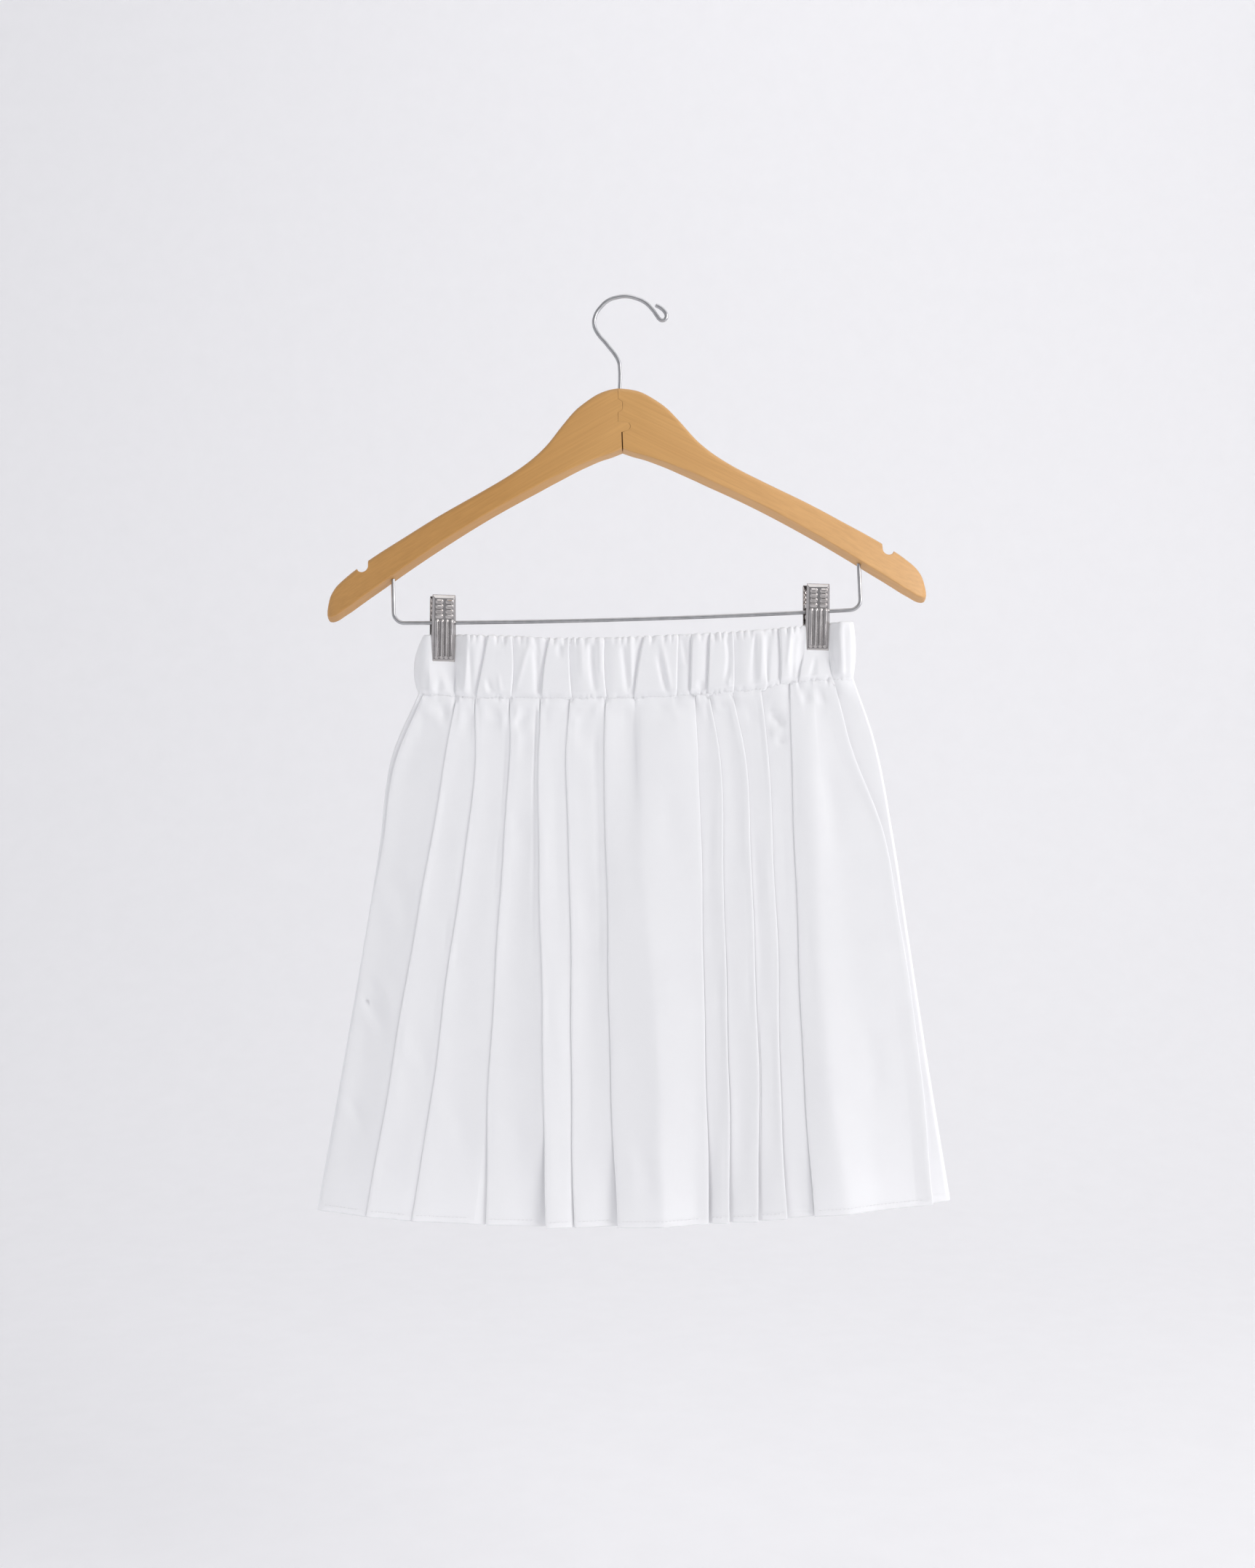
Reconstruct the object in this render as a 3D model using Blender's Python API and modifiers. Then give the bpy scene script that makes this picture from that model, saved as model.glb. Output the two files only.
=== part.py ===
"""A white knife-pleated mini skirt that hangs by its elastic waist from a wooden clip hanger.

Metres, +Z up, +Y away from the viewer. The origin is the point inside the hook's crown where the hanger is held.
Run it with blender --background --python part.py, or from Blender's text editor.
"""

import math
from collections import namedtuple

import bmesh
import bpy
from mathutils import Matrix, Vector

MM = 0.001
GAP = 0.3

# Driving sizes, in millimetres
CLOTH = 1.0
FOLD_RADIUS = 0.7
CASING_WALL = 2.4
WIRE_RADIUS = 1.45
HANGER_ROLL = math.radians(-1.93)
HANGER_TILT = math.radians(-6.0)
HANGER_HALF = 223.0
ARM_SWEEP = 36.0
CROWN = (-4.9, -68.2)
CLIP_YAW = math.radians(8.0)
CLIP_SIZE = (18.4, 1.0, 49.4)

# Heights down the skirt, from the stitch line under the waist to the hem, at which each fold's place is given
LEVELS = (0.0, 0.12, 0.3, 0.5, 0.75, 1.0)
ROWS = (0.0, 0.06, 0.12, 0.2, 0.3, 0.4, 0.5, 0.62, 0.75, 0.88, 1.0)

# One row for each fold of the front, left to right. "left" and "right" folds are knife pleats pointing that way,
# "soft" rows are rounded waves. top is the fold's X at the casing's top edge and xs is its X at LEVELS. reach is how
# far the cloth runs on under the fold, and lift how far the fold stands out, each at the waist and at the hem.
Fold = namedtuple("Fold", "name kind top xs reach lift")
FRONT_FOLDS = (
    Fold("side_left", "left", -149, (-148.7, -167.5, -180.3, -193.3, -209.9, -226.4), (9, 11), (4.2, 5.5)),
    Fold("pleat_1", "left", -125.3, (-125.6, -134.2, -145.8, -158.5, -174.4, -191.6), (8, 13), (4.4, 8)),
    Fold("pleat_2", "left", -106.3, (-111.7, -112.1, -118.8, -129.7, -142.6, -157.6), (8, 13), (4.4, 8)),
    Fold("pleat_3", "left", -84.2, (-86.0, -86.6, -90.5, -95.5, -101.7, -101.8), (11, 15), (4.4, 8.5)),
    Fold("pleat_4", "left", -58.3, (-63.3, -64.6, -63.9, -62.7, -60.7, -58.0), (11, 16), (4.6, 10)),
    Fold("pleat_5", "left", -42.6, (-41.5, -43.9, -42.0, -41.0, -39.6, -38.0), (11, 12), (4.4, 6)),
    Fold("pleat_6", "left", -16.8, (-15.0, -16.1, -15.0, -13.3, -10.4, -6.8), (11, 14), (4.6, 9)),
    Fold("centre_ridge", "soft", 11.1, (8.0, 10.0, 12.5, 18.2, 24.0, 26.9), (0, 0), (1.8, 11.5)),
    Fold("centre_edge", "soft", 36.8, (35.2, 42.5, 47.0, 49.5, 50.5, 51.0), (0, 0), (4.4, 8.5)),
    Fold("pleat_7", "right", 48.0, (50.3, 52.7, 54.6, 56.6, 58.5, 59.7), (9, 13), (4.4, 8)),
    Fold("pleat_8", "right", 62.6, (60.9, 68.9, 70.9, 73.3, 74.7, 75.0), (6.5, 11), (4.4, 8)),
    Fold("pleat_9", "right", 78.2, (78.1, 87.2, 91.9, 94.3, 96.5, 96.2), (9, 14), (4.4, 8)),
    Fold("pleat_10", "right", 100.6, (99.5, 105.2, 107.8, 110.8, 113.0, 117.5), (10, 14), (4.4, 8)),
    Fold("pleat_11", "left", 130.7, (121.4, 122.2, 123.7, 126.6, 131.1, 137.0), (10, 13), (4.6, 9)),
    Fold("wave_ridge", "soft", 136.5, (134.0, 136.0, 138.0, 141.0, 149.0, 161.7), (0, 0), (4.2, 11)),
    Fold("wave_valley", "soft", 144.0, (141.0, 146.5, 156.0, 163.5, 174.4, 186.0), (0, 0), (3.8, 6.5)),
    Fold("side_right", "right", 152.1, (153.2, 165.4, 190.7, 203.3, 216.8, 225.7), (9, 12), (4.6, 9)),
)

# The outline at the two sides, where the back panel turns round to the front
SIDE_LEFT = (-155.2, -174.7, -184.2, -196.5, -213.0, -230.1)
SIDE_RIGHT = (169.3, 185.1, 198.6, 210.3, 225.2, 241.0)
CASING_LEFT = (-152.5, -158.0, -150.0)
CASING_RIGHT = (168.0, 170.5, 169.0)

# Length of the turn at each side, as a share of its half depth, and how far the seams stay straight
TURN_SHAPE = 0.6
SEAM_RUN = 1.6

# The back has a box pleat at its centre and knife pleats that point to both sides
BACK_PLEATS = 6
BACK_CENTRE = (-7.0, -5.5)
BACK_FIRST = (13.0, 19.0)
BACK_PITCH = (22.5, 34.0)
BACK_UNEVEN = (1.6, 3.2)

# Depth of the innermost layer from the skirt's middle plane, at the waist and at the hem
DEEP_SIDE = (3.2, 7.0)
DEEP_MIDDLE = (4.2, 16.0)

# Heights of the casing's top edge, the stitch line under it and the hem, as (X, Z)
CASING_TOP = ((-157, -252), (-123, -251.2), (-60, -253.8), (-10, -253.6), (56, -250.6), (101, -247.8), (172, -240.6))
STITCH = ((-157, -295.2), (-114, -298.8), (8, -298.8), (61, -295.6), (99, -292.5), (122, -287.0), (172, -284.0))
HEM = ((-230, -676.6), (-158, -682.9), (-58, -686.8), (0, -686.4), (96, -682.5), (139, -678.6), (241, -670.4))

# Hanger: distance from the middle, top edge, lower edge and thickness of one arm, level and from the crown
ArmSection = namedtuple("ArmSection", "out top low thick")
ARM_SECTIONS = (
    ArmSection(0.15, -2.0, -49.0, 13.5),
    ArmSection(8.0, -3.1, -52.0, 13.5),
    ArmSection(16.0, -5.6, -54.4, 13.4),
    ArmSection(26.0, -11.6, -58.4, 13.2),
    ArmSection(34.0, -17.8, -61.9, 13.0),
    ArmSection(42.5, -27.2, -66.0, 13.0),
    ArmSection(55.0, -42.2, -72.0, 13.0),
    ArmSection(62.0, -48.8, -75.5, 13.0),
    ArmSection(70.0, -55.0, -79.3, 13.0),
    ArmSection(84.0, -63.8, -86.0, 13.0),
    ArmSection(104.0, -74.2, -96.1, 13.0),
    ArmSection(139.0, -91.2, -115.2, 13.0),
    ArmSection(166.0, -105.3, -130.8, 13.0),
    ArmSection(182.0, -114.0, -140.4, 13.0),
    ArmSection(192.0, -119.2, -146.2, 12.8),
    ArmSection(193.8, -125.4, -147.2, 12.8),
    ArmSection(196.8, -128.2, -149.0, 12.6),
    ArmSection(199.8, -127.6, -150.8, 12.6),
    ArmSection(201.6, -125.2, -152.0, 12.6),
    ArmSection(206.5, -128.0, -155.0, 12.4),
    ArmSection(212.4, -132.0, -158.2, 12.0),
    ArmSection(217.0, -135.6, -160.8, 11.4),
    ArmSection(220.4, -139.7, -161.9, 10.6),
    ArmSection(222.8, -144.0, -162.0, 9.0),
    ArmSection(224.4, -149.6, -161.2, 6.6),
    ArmSection(225.2, -153.6, -159.6, 4.4),
)
TOP_ROUND = 4.6
LOW_ROUND = 2.0

# Hook: the wire's middle line from the crown up and over to its curled end, as (X, Z)
HOOK_ROUTE = (
    (-4.9, -69.8), (-4.9, -54.1), (-5.9, -48.4), (-14.6, -35.6), (-21.6, -26.8), (-24.1, -20.1), (-23.2, -13.4),
    (-19.1, -6.8), (-13.3, -1.6), (-6.6, 0.8), (0.0, 1.45), (7.5, -0.2), (14.2, -3.5), (19.4, -8.6), (22.5, -14.0),
    (26.0, -17.2), (29.6, -15.4), (29.8, -11.0), (26.6, -7.2), (23.6, -5.6),
)

# Trouser bar, level and from the crown: legs up into the arms, rounded corners and the sag of its middle
BAR_HALF = 173.8
BAR_LEVEL = -170.0
BAR_SAG = 2.2
BAR_CORNER = 8.0
BAR_LEG_TOP = -136.5

# Clips: middle of each on X, and the height of a plate's top over the bar
Clip = namedtuple("Clip", "side x")
CLIPS = (Clip("left", -136.6), Clip("right", 141.2))
CLIP_OVER_BAR = 18.5
CLIP_TOP_HALF = 7.4
CLIP_JAW_HALF = 3.9
CLIP_NARROW = 1.6
CLIP_EAR = (1.0, 11.0)
CLIP_HOLE = 2.9
SPRING_RADIUS = 3.9
SPRING_BORE = 1.8
SPRING_LENGTH = 10.0
PINCH_HALF = 3.3
PINCH_WIDTH = 22.0

# Casing: half its depth at the stitch line and at its top, how far the folds stand out of it, and its rows
CASING_HALF = (8.6, 7.6)
CASING_RELIEF = 1.3
CASING_WALL_PINCHED = 2.0
CASING_END = 8.6
CLIP_STATIONS = (-20.0, -14.5, -9.8, 9.8, 14.5, 20.0)
CASING_ROUND = 0.8
CASING_HEIGHTS = (0.0, 0.16, 0.36, 0.58, 0.8, 1.0)


def mix(a, b, share):
    return a + (b - a) * share


def smooth(share):
    share = min(1.0, max(0.0, share))
    return share * share * (3 - 2 * share)


def at_levels(values, level):
    """A smooth curve through values, which are given at LEVELS, read at level."""
    k = 0
    while k < len(LEVELS) - 2 and level > LEVELS[k + 1]:
        k += 1
    slopes = [(values[j + 1] - values[j]) / (LEVELS[j + 1] - LEVELS[j]) for j in range(len(LEVELS) - 1)]
    before = slopes[k] if k == 0 else (slopes[k - 1] + slopes[k]) / 2
    after = slopes[k] if k == len(slopes) - 1 else (slopes[k] + slopes[k + 1]) / 2
    span = LEVELS[k + 1] - LEVELS[k]
    t = (level - LEVELS[k]) / span
    start = (1 + 2 * t) * (1 - t) ** 2 * values[k] + t * (1 - t) ** 2 * span * before
    return start + t * t * (3 - 2 * t) * values[k + 1] - t * t * (1 - t) * span * after


def on_line(points, x):
    """The height at x of a line through (X, Z) points, rounded between them."""
    if x <= points[0][0]:
        return points[0][1]
    for (x0, z0), (x1, z1) in zip(points, points[1:]):
        if x <= x1:
            return mix(z0, z1, (x - x0) / (x1 - x0))
    return points[-1][1]


def deep(x, level, half):
    """Distance of the innermost layer from the middle plane: nearly flat at the waist, rounded out at the hem."""
    side = mix(*DEEP_SIDE, level)
    middle = mix(*DEEP_MIDDLE, level)
    return side + (middle - side) * math.sqrt(max(0.0, 1 - (x / half) ** 2))


def hairpin(x, n, ahead, rising, steps):
    """A tight turn of the cloth with its tip at x, as (x, n) points. n is the distance from the middle plane."""
    side = 1 if ahead else -1
    turn = 1 if rising else -1
    points = []
    for k in range(steps + 2):
        angle = math.pi * (k / (steps + 1) - 0.5)
        points.append((x + side * FOLD_RADIUS * (math.cos(angle) - 1), n + turn * FOLD_RADIUS * math.sin(angle)))
    return points


def sheet_path(folds, level, base, steps=1):
    """The line that one panel follows at one level, through its folds, as (x, n) points. base(x) is its inmost layer."""
    xs = [at_levels(fold.xs, level) for fold in folds]
    reaches = [mix(*fold.reach, level) for fold in folds]
    lifts = [mix(*fold.lift, level) for fold in folds]
    tuck = mix(1.0, 2.4, level)
    edge = 0.6
    points = []
    for k, fold in enumerate(folds):
        x, reach, lift = xs[k], reaches[k], lifts[k]
        if fold.kind == "soft":
            points.append((x, base(x) + lift))
            continue
        shoulder = max(0.74 * lift, 4 * FOLD_RADIUS + 0.25)
        proud = base(x) + lift - FOLD_RADIUS
        if fold.kind == "left":
            inner = x + reach
            if k:
                points.append((x - edge, base(x - edge) + tuck))
            points += hairpin(inner, base(inner) + FOLD_RADIUS, True, True, steps)
            points += hairpin(x, proud, False, True, steps)
            if k + 1 < len(folds) and folds[k + 1].kind == "left":
                far = min(reach + 0.8, xs[k + 1] - x - 2.2)
                points.append((x + far, base(x + far) + shoulder))
        else:
            inner = x - reach
            if k and folds[k - 1].kind == "right":
                far = min(reach + 0.8, x - xs[k - 1] - 2.2)
                points.append((x - far, base(x - far) + shoulder))
            points += hairpin(x, proud, True, False, steps)
            points += hairpin(inner, base(inner) + FOLD_RADIUS, False, False, steps)
            if k + 1 < len(folds):
                points.append((x + edge, base(x + edge) + tuck))
    return points


def back_folds():
    """The back's pleats, from right to left as the front sees them: a box pleat at the centre, then knife pleats."""
    folds = []
    for side in (-1, 1):
        for k in range(BACK_PLEATS):
            places = []
            for level in LEVELS:
                uneven = mix(*BACK_UNEVEN, level) * math.sin(2.4 * k + side + 0.6 * level)
                out = mix(*BACK_FIRST, level) + k * mix(*BACK_PITCH, level) + uneven
                places.append(-mix(*BACK_CENTRE, level) + side * out)
            kind = "left" if side < 0 else "right"
            folds.append(Fold(f"back_{side}_{k}", kind, places[0], tuple(places), (9, 13), (4.3, 7.5)))
    return sorted(folds, key=lambda fold: fold.top)


def side_turn(tip, depth, ahead):
    """The cloth turning round one side of the skirt, from n = depth on one face to n = -depth on the other."""
    side = 1 if ahead else -1
    points = []
    for degrees in (90, 45, 0, -45, -90):
        angle = math.radians(degrees)
        points.append((tip + side * TURN_SHAPE * depth * (math.cos(angle) - 1), depth * math.sin(angle)))
    return points


class Skirt:
    """The two pleated panels under the stitch line."""

    def __init__(self, middle_y):
        self.middle_y = middle_y
        self.back = back_folds()

    def base(self, level):
        left = at_levels(SIDE_LEFT, level)
        right = at_levels(SIDE_RIGHT, level)
        centre = (left + right) / 2
        half = (right - left) / 2
        return lambda x: deep(x - centre, level, half)

    def seams(self, level):
        """X of the left and the right seam, hidden under the front's first and last fold."""
        inset = mix(5.0, 5.5, level)
        return at_levels(FRONT_FOLDS[0].xs, level) + inset, at_levels(FRONT_FOLDS[-1].xs, level) - inset

    def front_path(self, level, steps):
        base = self.base(level)
        left, right = self.seams(level)
        half_gap = GAP / 2
        points = [(left + half_gap, base(left))] + sheet_path(FRONT_FOLDS, level, base, steps)
        points.append((right - half_gap, base(right)))
        return [(x, self.middle_y - n) for x, n in points]

    def back_path(self, level, steps):
        base = self.base(level)
        left, right = self.seams(level)
        half_gap = GAP / 2
        depth = mix(*DEEP_SIDE, level)
        inset = CLOTH / 2
        right_turn = side_turn(at_levels(SIDE_RIGHT, level) - inset, depth, True)
        left_turn = side_turn(at_levels(SIDE_LEFT, level) + inset, depth, False)
        rear = [(-t, -n) for t, n in sheet_path(self.back, level, lambda t: base(-t), steps)]
        start = [(x, base(x)) for x in (right + half_gap, right + SEAM_RUN)]
        end = [(x, base(x)) for x in (left - SEAM_RUN, left - half_gap)]
        points = start + right_turn + rear + left_turn[::-1] + end
        return [(x, self.middle_y - n) for x, n in points]

    def rows(self, path, steps=1):
        """Rows of (x, y, z) points of one panel, from the stitch line to the hem."""
        drop = GAP / 2 + 0.1
        lines = [path(level, steps) for level in ROWS]
        rows = []
        for level, line in zip(ROWS, lines):
            row = []
            for (x, y), (x_top, _), (x_hem, _) in zip(line, lines[0], lines[-1]):
                row.append((x, y, mix(on_line(STITCH, x_top) - drop, on_line(HEM, x_hem), level)))
            rows.append(row)
        return rows


def pinch(x):
    """(how firmly the clips press the casing at x, how far they shift it towards the wall there)."""
    for clip in CLIPS:
        away = abs(x - clip.x)
        if away < PINCH_WIDTH * 2:
            share = 1 - smooth((away - CLIP_SIZE[0] / 2 - 1.0) / PINCH_WIDTH)
            shift = bar_place(clip.x).y - bar_place(0).y
            return share, (shift + (x - clip.x) * math.tan(CLIP_YAW)) * share
    return 0.0, 0.0


def casing_stations(folds):
    """(top X, stitch X, relief) along one face of the casing: each fold carries through it as a step."""
    stations = []
    for k, fold in enumerate(folds):
        x = fold.xs[0]
        if fold.kind == "left":
            stations += [(fold.top - 1.0, x - 1.0, 0.0), (fold.top, x, 1.0)]
        elif fold.kind == "right":
            stations += [(fold.top, x, 1.0), (fold.top + 1.0, x + 1.0, 0.0)]
        else:
            stations.append((fold.top, x, 0.5))
        if k + 1 < len(folds):
            following = folds[k + 1]
            stations.append(((fold.top + following.top) / 2, (x + following.xs[0]) / 2, 0.55))
    return stations


def add_clip_stations(stations):
    """The stations clear of the casing's two ends, with some more beside each clip, where it is pressed flat."""
    first = CASING_LEFT[0] + CASING_END
    last = CASING_RIGHT[0] - CASING_END
    more = list(stations)
    for clip in CLIPS:
        for away in CLIP_STATIONS:
            x = clip.x + away
            if min(abs(x - low) for _, low, _ in stations) > 1.2:
                more.append((x, x, 0.5))
    return sorted((station for station in more if first < station[1] < last), key=lambda station: station[1])


def casing_sizes(x, height):
    """(outer, inner, relief, turn) of the casing's wall at x: its distances from the middle plane there."""
    press, turned = pinch(x)
    press *= smooth(0.25 + 1.6 * height)
    half = mix(mix(*CASING_HALF, height), PINCH_HALF, press)
    relief = CASING_RELIEF * (1 - 0.8 * press)
    inner = half - relief - mix(CASING_WALL, CASING_WALL_PINCHED, press)
    return half, inner, relief, turned * smooth(0.25 + 1.6 * height)


def casing_rings(stations, sign, middle_y):
    """One face of the casing as rings round its wall, from its left end to its right one."""
    heights = CASING_HEIGHTS
    rings = []

    def add_ring(xs, tops, sizes):
        outer, inner = [], []
        for x, z, (out_x, out_n, in_x, in_n, turn) in zip(xs, tops, sizes):
            outer.append((x + out_x, middle_y + sign * out_n + turn, z))
            inner.append((x + in_x, middle_y + sign * in_n + turn, z))
        inner[-1] = (inner[-1][0], inner[-1][1], inner[-1][2] - CASING_ROUND)
        rings.append(outer + inner[::-1])

    def height_of(x_top, x_low, height):
        return mix(on_line(STITCH, x_low) + GAP / 2 + 0.1, on_line(CASING_TOP, x_top), height)

    def add_end(tips, side, angles):
        for degrees in angles:
            angle = math.radians(degrees)
            xs, zs, sizes = [], [], []
            for height in heights:
                low, bulge, top = tips
                tip = mix(low, top, height) + 4 * height * (1 - height) * (bulge - (low + top) / 2)
                half, inner, relief, turn = casing_sizes(tip - side * CASING_END, height)
                outer = half - relief
                centre = tip - side * outer
                xs.append(centre)
                zs.append(height_of(top, low, height))
                flat = max(GAP / 2, outer * math.sin(angle))
                flat_in = max(GAP / 2, inner * math.sin(angle))
                sizes.append((side * outer * math.cos(angle), flat, side * inner * math.cos(angle), flat_in, turn))
            add_ring(xs, zs, sizes)

    add_end(CASING_LEFT, -1, (0, 30, 60, 90))
    for top_x, low_x, raised in stations:
        xs = [mix(low_x, top_x, height) for height in heights]
        zs = [height_of(top_x, low_x, height) for height in heights]
        sizes = []
        for x, height in zip(xs, heights):
            half, inner, relief, turn = casing_sizes(x, height)
            sizes.append((0.0, half - relief * (1 - raised), 0.0, inner, turn))
        add_ring(xs, zs, sizes)
    add_end(CASING_RIGHT, 1, (90, 60, 30, 0))
    return rings


def material(name, colour, roughness, metallic=0.0):
    made = bpy.data.materials.new(name)
    made.use_nodes = True
    shader = made.node_tree.nodes["Principled BSDF"]
    shader.inputs["Base Color"].default_value = (*colour, 1)
    shader.inputs["Roughness"].default_value = roughness
    shader.inputs["Metallic"].default_value = metallic
    return made


def add_object(name, data, look, smooth_faces=False):
    """An object of this mesh or curve, with its material, in the collection of the parts."""
    data.materials.append(look)
    if smooth_faces:
        data.shade_smooth()
        data.set_sharp_from_angle(angle=math.radians(40))
    made = bpy.data.objects.new(name, data)
    bpy.data.collections["pleated_skirt"].objects.link(made)
    return made


def cloth_sheet(name, rows, look):
    """A pleated panel: an open surface through its rows, thickened to the cloth's wall."""
    surface = bmesh.new()
    grid = [[surface.verts.new(Vector(point) * MM) for point in row] for row in rows]
    for upper, lower in zip(grid, grid[1:]):
        for k in range(len(upper) - 1):
            surface.faces.new((upper[k], lower[k], lower[k + 1], upper[k + 1]))
    mesh = bpy.data.meshes.new(name)
    surface.to_mesh(mesh)
    surface.free()
    made = add_object(name, mesh, look, True)
    wall = made.modifiers.new("wall", "SOLIDIFY")
    wall.thickness = CLOTH * MM
    wall.offset = 0
    wall.use_even_offset = True
    return made


def loft(name, rings, look, smooth_faces=True):
    """A closed solid through rings of points that have the same count."""
    solid = bmesh.new()
    loops = [[solid.verts.new(Vector(point) * MM) for point in ring] for ring in rings]
    count = len(loops[0])
    for one, two in zip(loops, loops[1:]):
        for k in range(count):
            solid.faces.new((one[k], one[(k + 1) % count], two[(k + 1) % count], two[k]))
    solid.faces.new(loops[0])
    solid.faces.new(loops[-1])
    bmesh.ops.recalc_face_normals(solid, faces=solid.faces)
    mesh = bpy.data.meshes.new(name)
    solid.to_mesh(mesh)
    solid.free()
    return add_object(name, mesh, look, smooth_faces)


def wire(name, points, kind, look):
    """A round steel wire along points, with its ends closed."""
    curve = bpy.data.curves.new(name, "CURVE")
    curve.dimensions = "3D"
    curve.bevel_depth = WIRE_RADIUS * MM
    curve.bevel_resolution = 2
    curve.use_fill_caps = True
    curve.resolution_u = 3
    spline = curve.splines.new(kind)
    if kind == "BEZIER":
        spline.bezier_points.add(len(points) - 1)
        for knot, point in zip(spline.bezier_points, points):
            knot.co = Vector(point) * MM
            knot.handle_left_type = knot.handle_right_type = "AUTO"
    else:
        spline.points.add(len(points) - 1)
        for knot, point in zip(spline.points, points):
            knot.co = (*(Vector(point) * MM), 1)
    return add_object(name, curve, look)


def arm_sweep(out):
    """How far the arms bend back towards the wall at this distance from the middle."""
    return ARM_SWEEP * (out / HANGER_HALF) ** 2


def arm_ring(section, side):
    """A rounded rectangle: the arm's section in the upright plane across it."""
    middle_y = arm_sweep(section.out)
    half = section.thick / 2
    height = section.top - section.low
    ring = []
    for up, front, radius in ((1, -1, TOP_ROUND), (1, 1, TOP_ROUND), (-1, 1, LOW_ROUND), (-1, -1, LOW_ROUND)):
        radius = min(radius, 0.45 * height, 0.8 * half)
        edge = section.top - radius if up > 0 else section.low + radius
        corner = []
        for degrees in (0, 45, 90):
            angle = math.radians(degrees)
            y = middle_y + front * (half - radius + radius * math.cos(angle))
            corner.append((side * section.out, y, edge + up * radius * math.sin(angle)))
        ring += corner if up * front < 0 else corner[::-1]
    return ring


def bar_route():
    """The trouser bar's middle line, from the top of its left leg to the top of its right one."""
    y = arm_sweep(BAR_HALF)
    points = [(-BAR_HALF, y, BAR_LEG_TOP)]
    for degrees in (0, 22.5, 45, 67.5, 90):
        angle = math.radians(degrees)
        x = -BAR_HALF + BAR_CORNER * (1 - math.cos(angle))
        points.append((x, y, BAR_LEVEL + BAR_CORNER * (1 - math.sin(angle))))
    straight = BAR_HALF - BAR_CORNER
    for share in (-0.8, -0.5, -0.2):
        points.append((share * straight, y, BAR_LEVEL - BAR_SAG * (1 - share * share)))
    return points + [(-x, y, z) for x, y, z in reversed(points)]


def hanger_pose():
    """Places what is drawn level, with the crown at its origin, into the hanging pose."""
    crown = Matrix.Translation((CROWN[0] * MM, 0, CROWN[1] * MM))
    return Matrix.Rotation(HANGER_TILT, 4, "X") @ crown @ Matrix.Rotation(HANGER_ROLL, 4, "Y")


def bar_place(x):
    """The bar's middle line at this X of the hanging pose, in that pose and in millimetres."""
    along = (x - CROWN[0] - BAR_LEVEL * math.sin(HANGER_ROLL)) / math.cos(HANGER_ROLL)
    share = along / (BAR_HALF - BAR_CORNER)
    level = BAR_LEVEL - BAR_SAG * (1 - share * share)
    return hanger_pose() @ (Vector((along, arm_sweep(BAR_HALF), level)) * MM) / MM


def box(name, size, place, look, collection=None):
    mesh = bpy.data.meshes.new(name)
    shape = bmesh.new()
    bmesh.ops.create_cube(shape, size=1)
    bmesh.ops.scale(shape, vec=Vector(size) * MM, verts=shape.verts)
    bmesh.ops.translate(shape, vec=Vector(place) * MM, verts=shape.verts)
    shape.to_mesh(mesh)
    shape.free()
    made = add_object(name, mesh, look)
    if collection:
        collection.objects.link(made)
        bpy.data.collections["pleated_skirt"].objects.unlink(made)
        made.hide_render = True
        made.display_type = "WIRE"
    return made


def clip_half_gap(down):
    """Half the space between a clip's plates at this depth under their top."""
    return mix(CLIP_TOP_HALF, CLIP_JAW_HALF, down / CLIP_SIZE[2])


def clip_plate(name, side, look):
    """One sheet-steel plate, drawn round the point where the bar passes, with its jaw at the bottom."""
    width, thick, height = CLIP_SIZE
    rings = []
    for down in (0.0, CLIP_OVER_BAR, height):
        half = mix(width - CLIP_NARROW, width, down / height) / 2
        inner = side * clip_half_gap(down)
        outer = inner + side * thick
        z = CLIP_OVER_BAR - down
        rings.append([(-half, inner, z), (half, inner, z), (half, outer, z), (-half, outer, z)])
    return loft(name, rings, look, False)


def add_boolean(piece, cutter, operation):
    modifier = piece.modifiers.new(cutter.name, "BOOLEAN")
    modifier.operation = operation
    modifier.object = cutter


def build_clip(clip, steel):
    """Front plate, back plate with the two ears that the bar runs through, and the spring on the bar."""
    cutters = bpy.data.collections["cutters"]
    front = clip_plate(f"clip_{clip.side}_front", -1, steel)
    back = clip_plate(f"clip_{clip.side}_back", 1, steel)
    ear_thick, ear_tall = CLIP_EAR
    reach = clip_half_gap(CLIP_OVER_BAR + ear_tall / 2) - GAP
    depth = reach + clip_half_gap(CLIP_OVER_BAR) + CLIP_SIZE[1] / 2
    for side in (-1, 1):
        place = (side * (CLIP_SIZE[0] / 2 - CLIP_NARROW / 2 - ear_thick / 2), depth / 2 - reach, 0)
        ear = box(f"ear_{clip.side}_{side}", (ear_thick, depth, ear_tall), place, steel, cutters)
        ear.parent = back
        add_boolean(back, ear, "UNION")
    hole = bpy.data.meshes.new(f"hole_{clip.side}")
    shape = bmesh.new()
    turn = Matrix.Rotation(math.pi / 2, 4, "Y")
    bmesh.ops.create_cone(
        shape, cap_ends=True, segments=20, radius1=CLIP_HOLE * MM, radius2=CLIP_HOLE * MM, depth=0.04, matrix=turn
    )
    shape.to_mesh(hole)
    shape.free()
    bore = bpy.data.objects.new(f"hole_{clip.side}", hole)
    bore.hide_render = True
    bore.display_type = "WIRE"
    bore.parent = back
    cutters.objects.link(bore)
    add_boolean(back, bore, "DIFFERENCE")
    place = bar_place(clip.x) * MM
    for plate in (front, back):
        plate.location = place
        plate.rotation_euler.z = CLIP_YAW
    build_spring(clip, place, steel)


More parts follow.
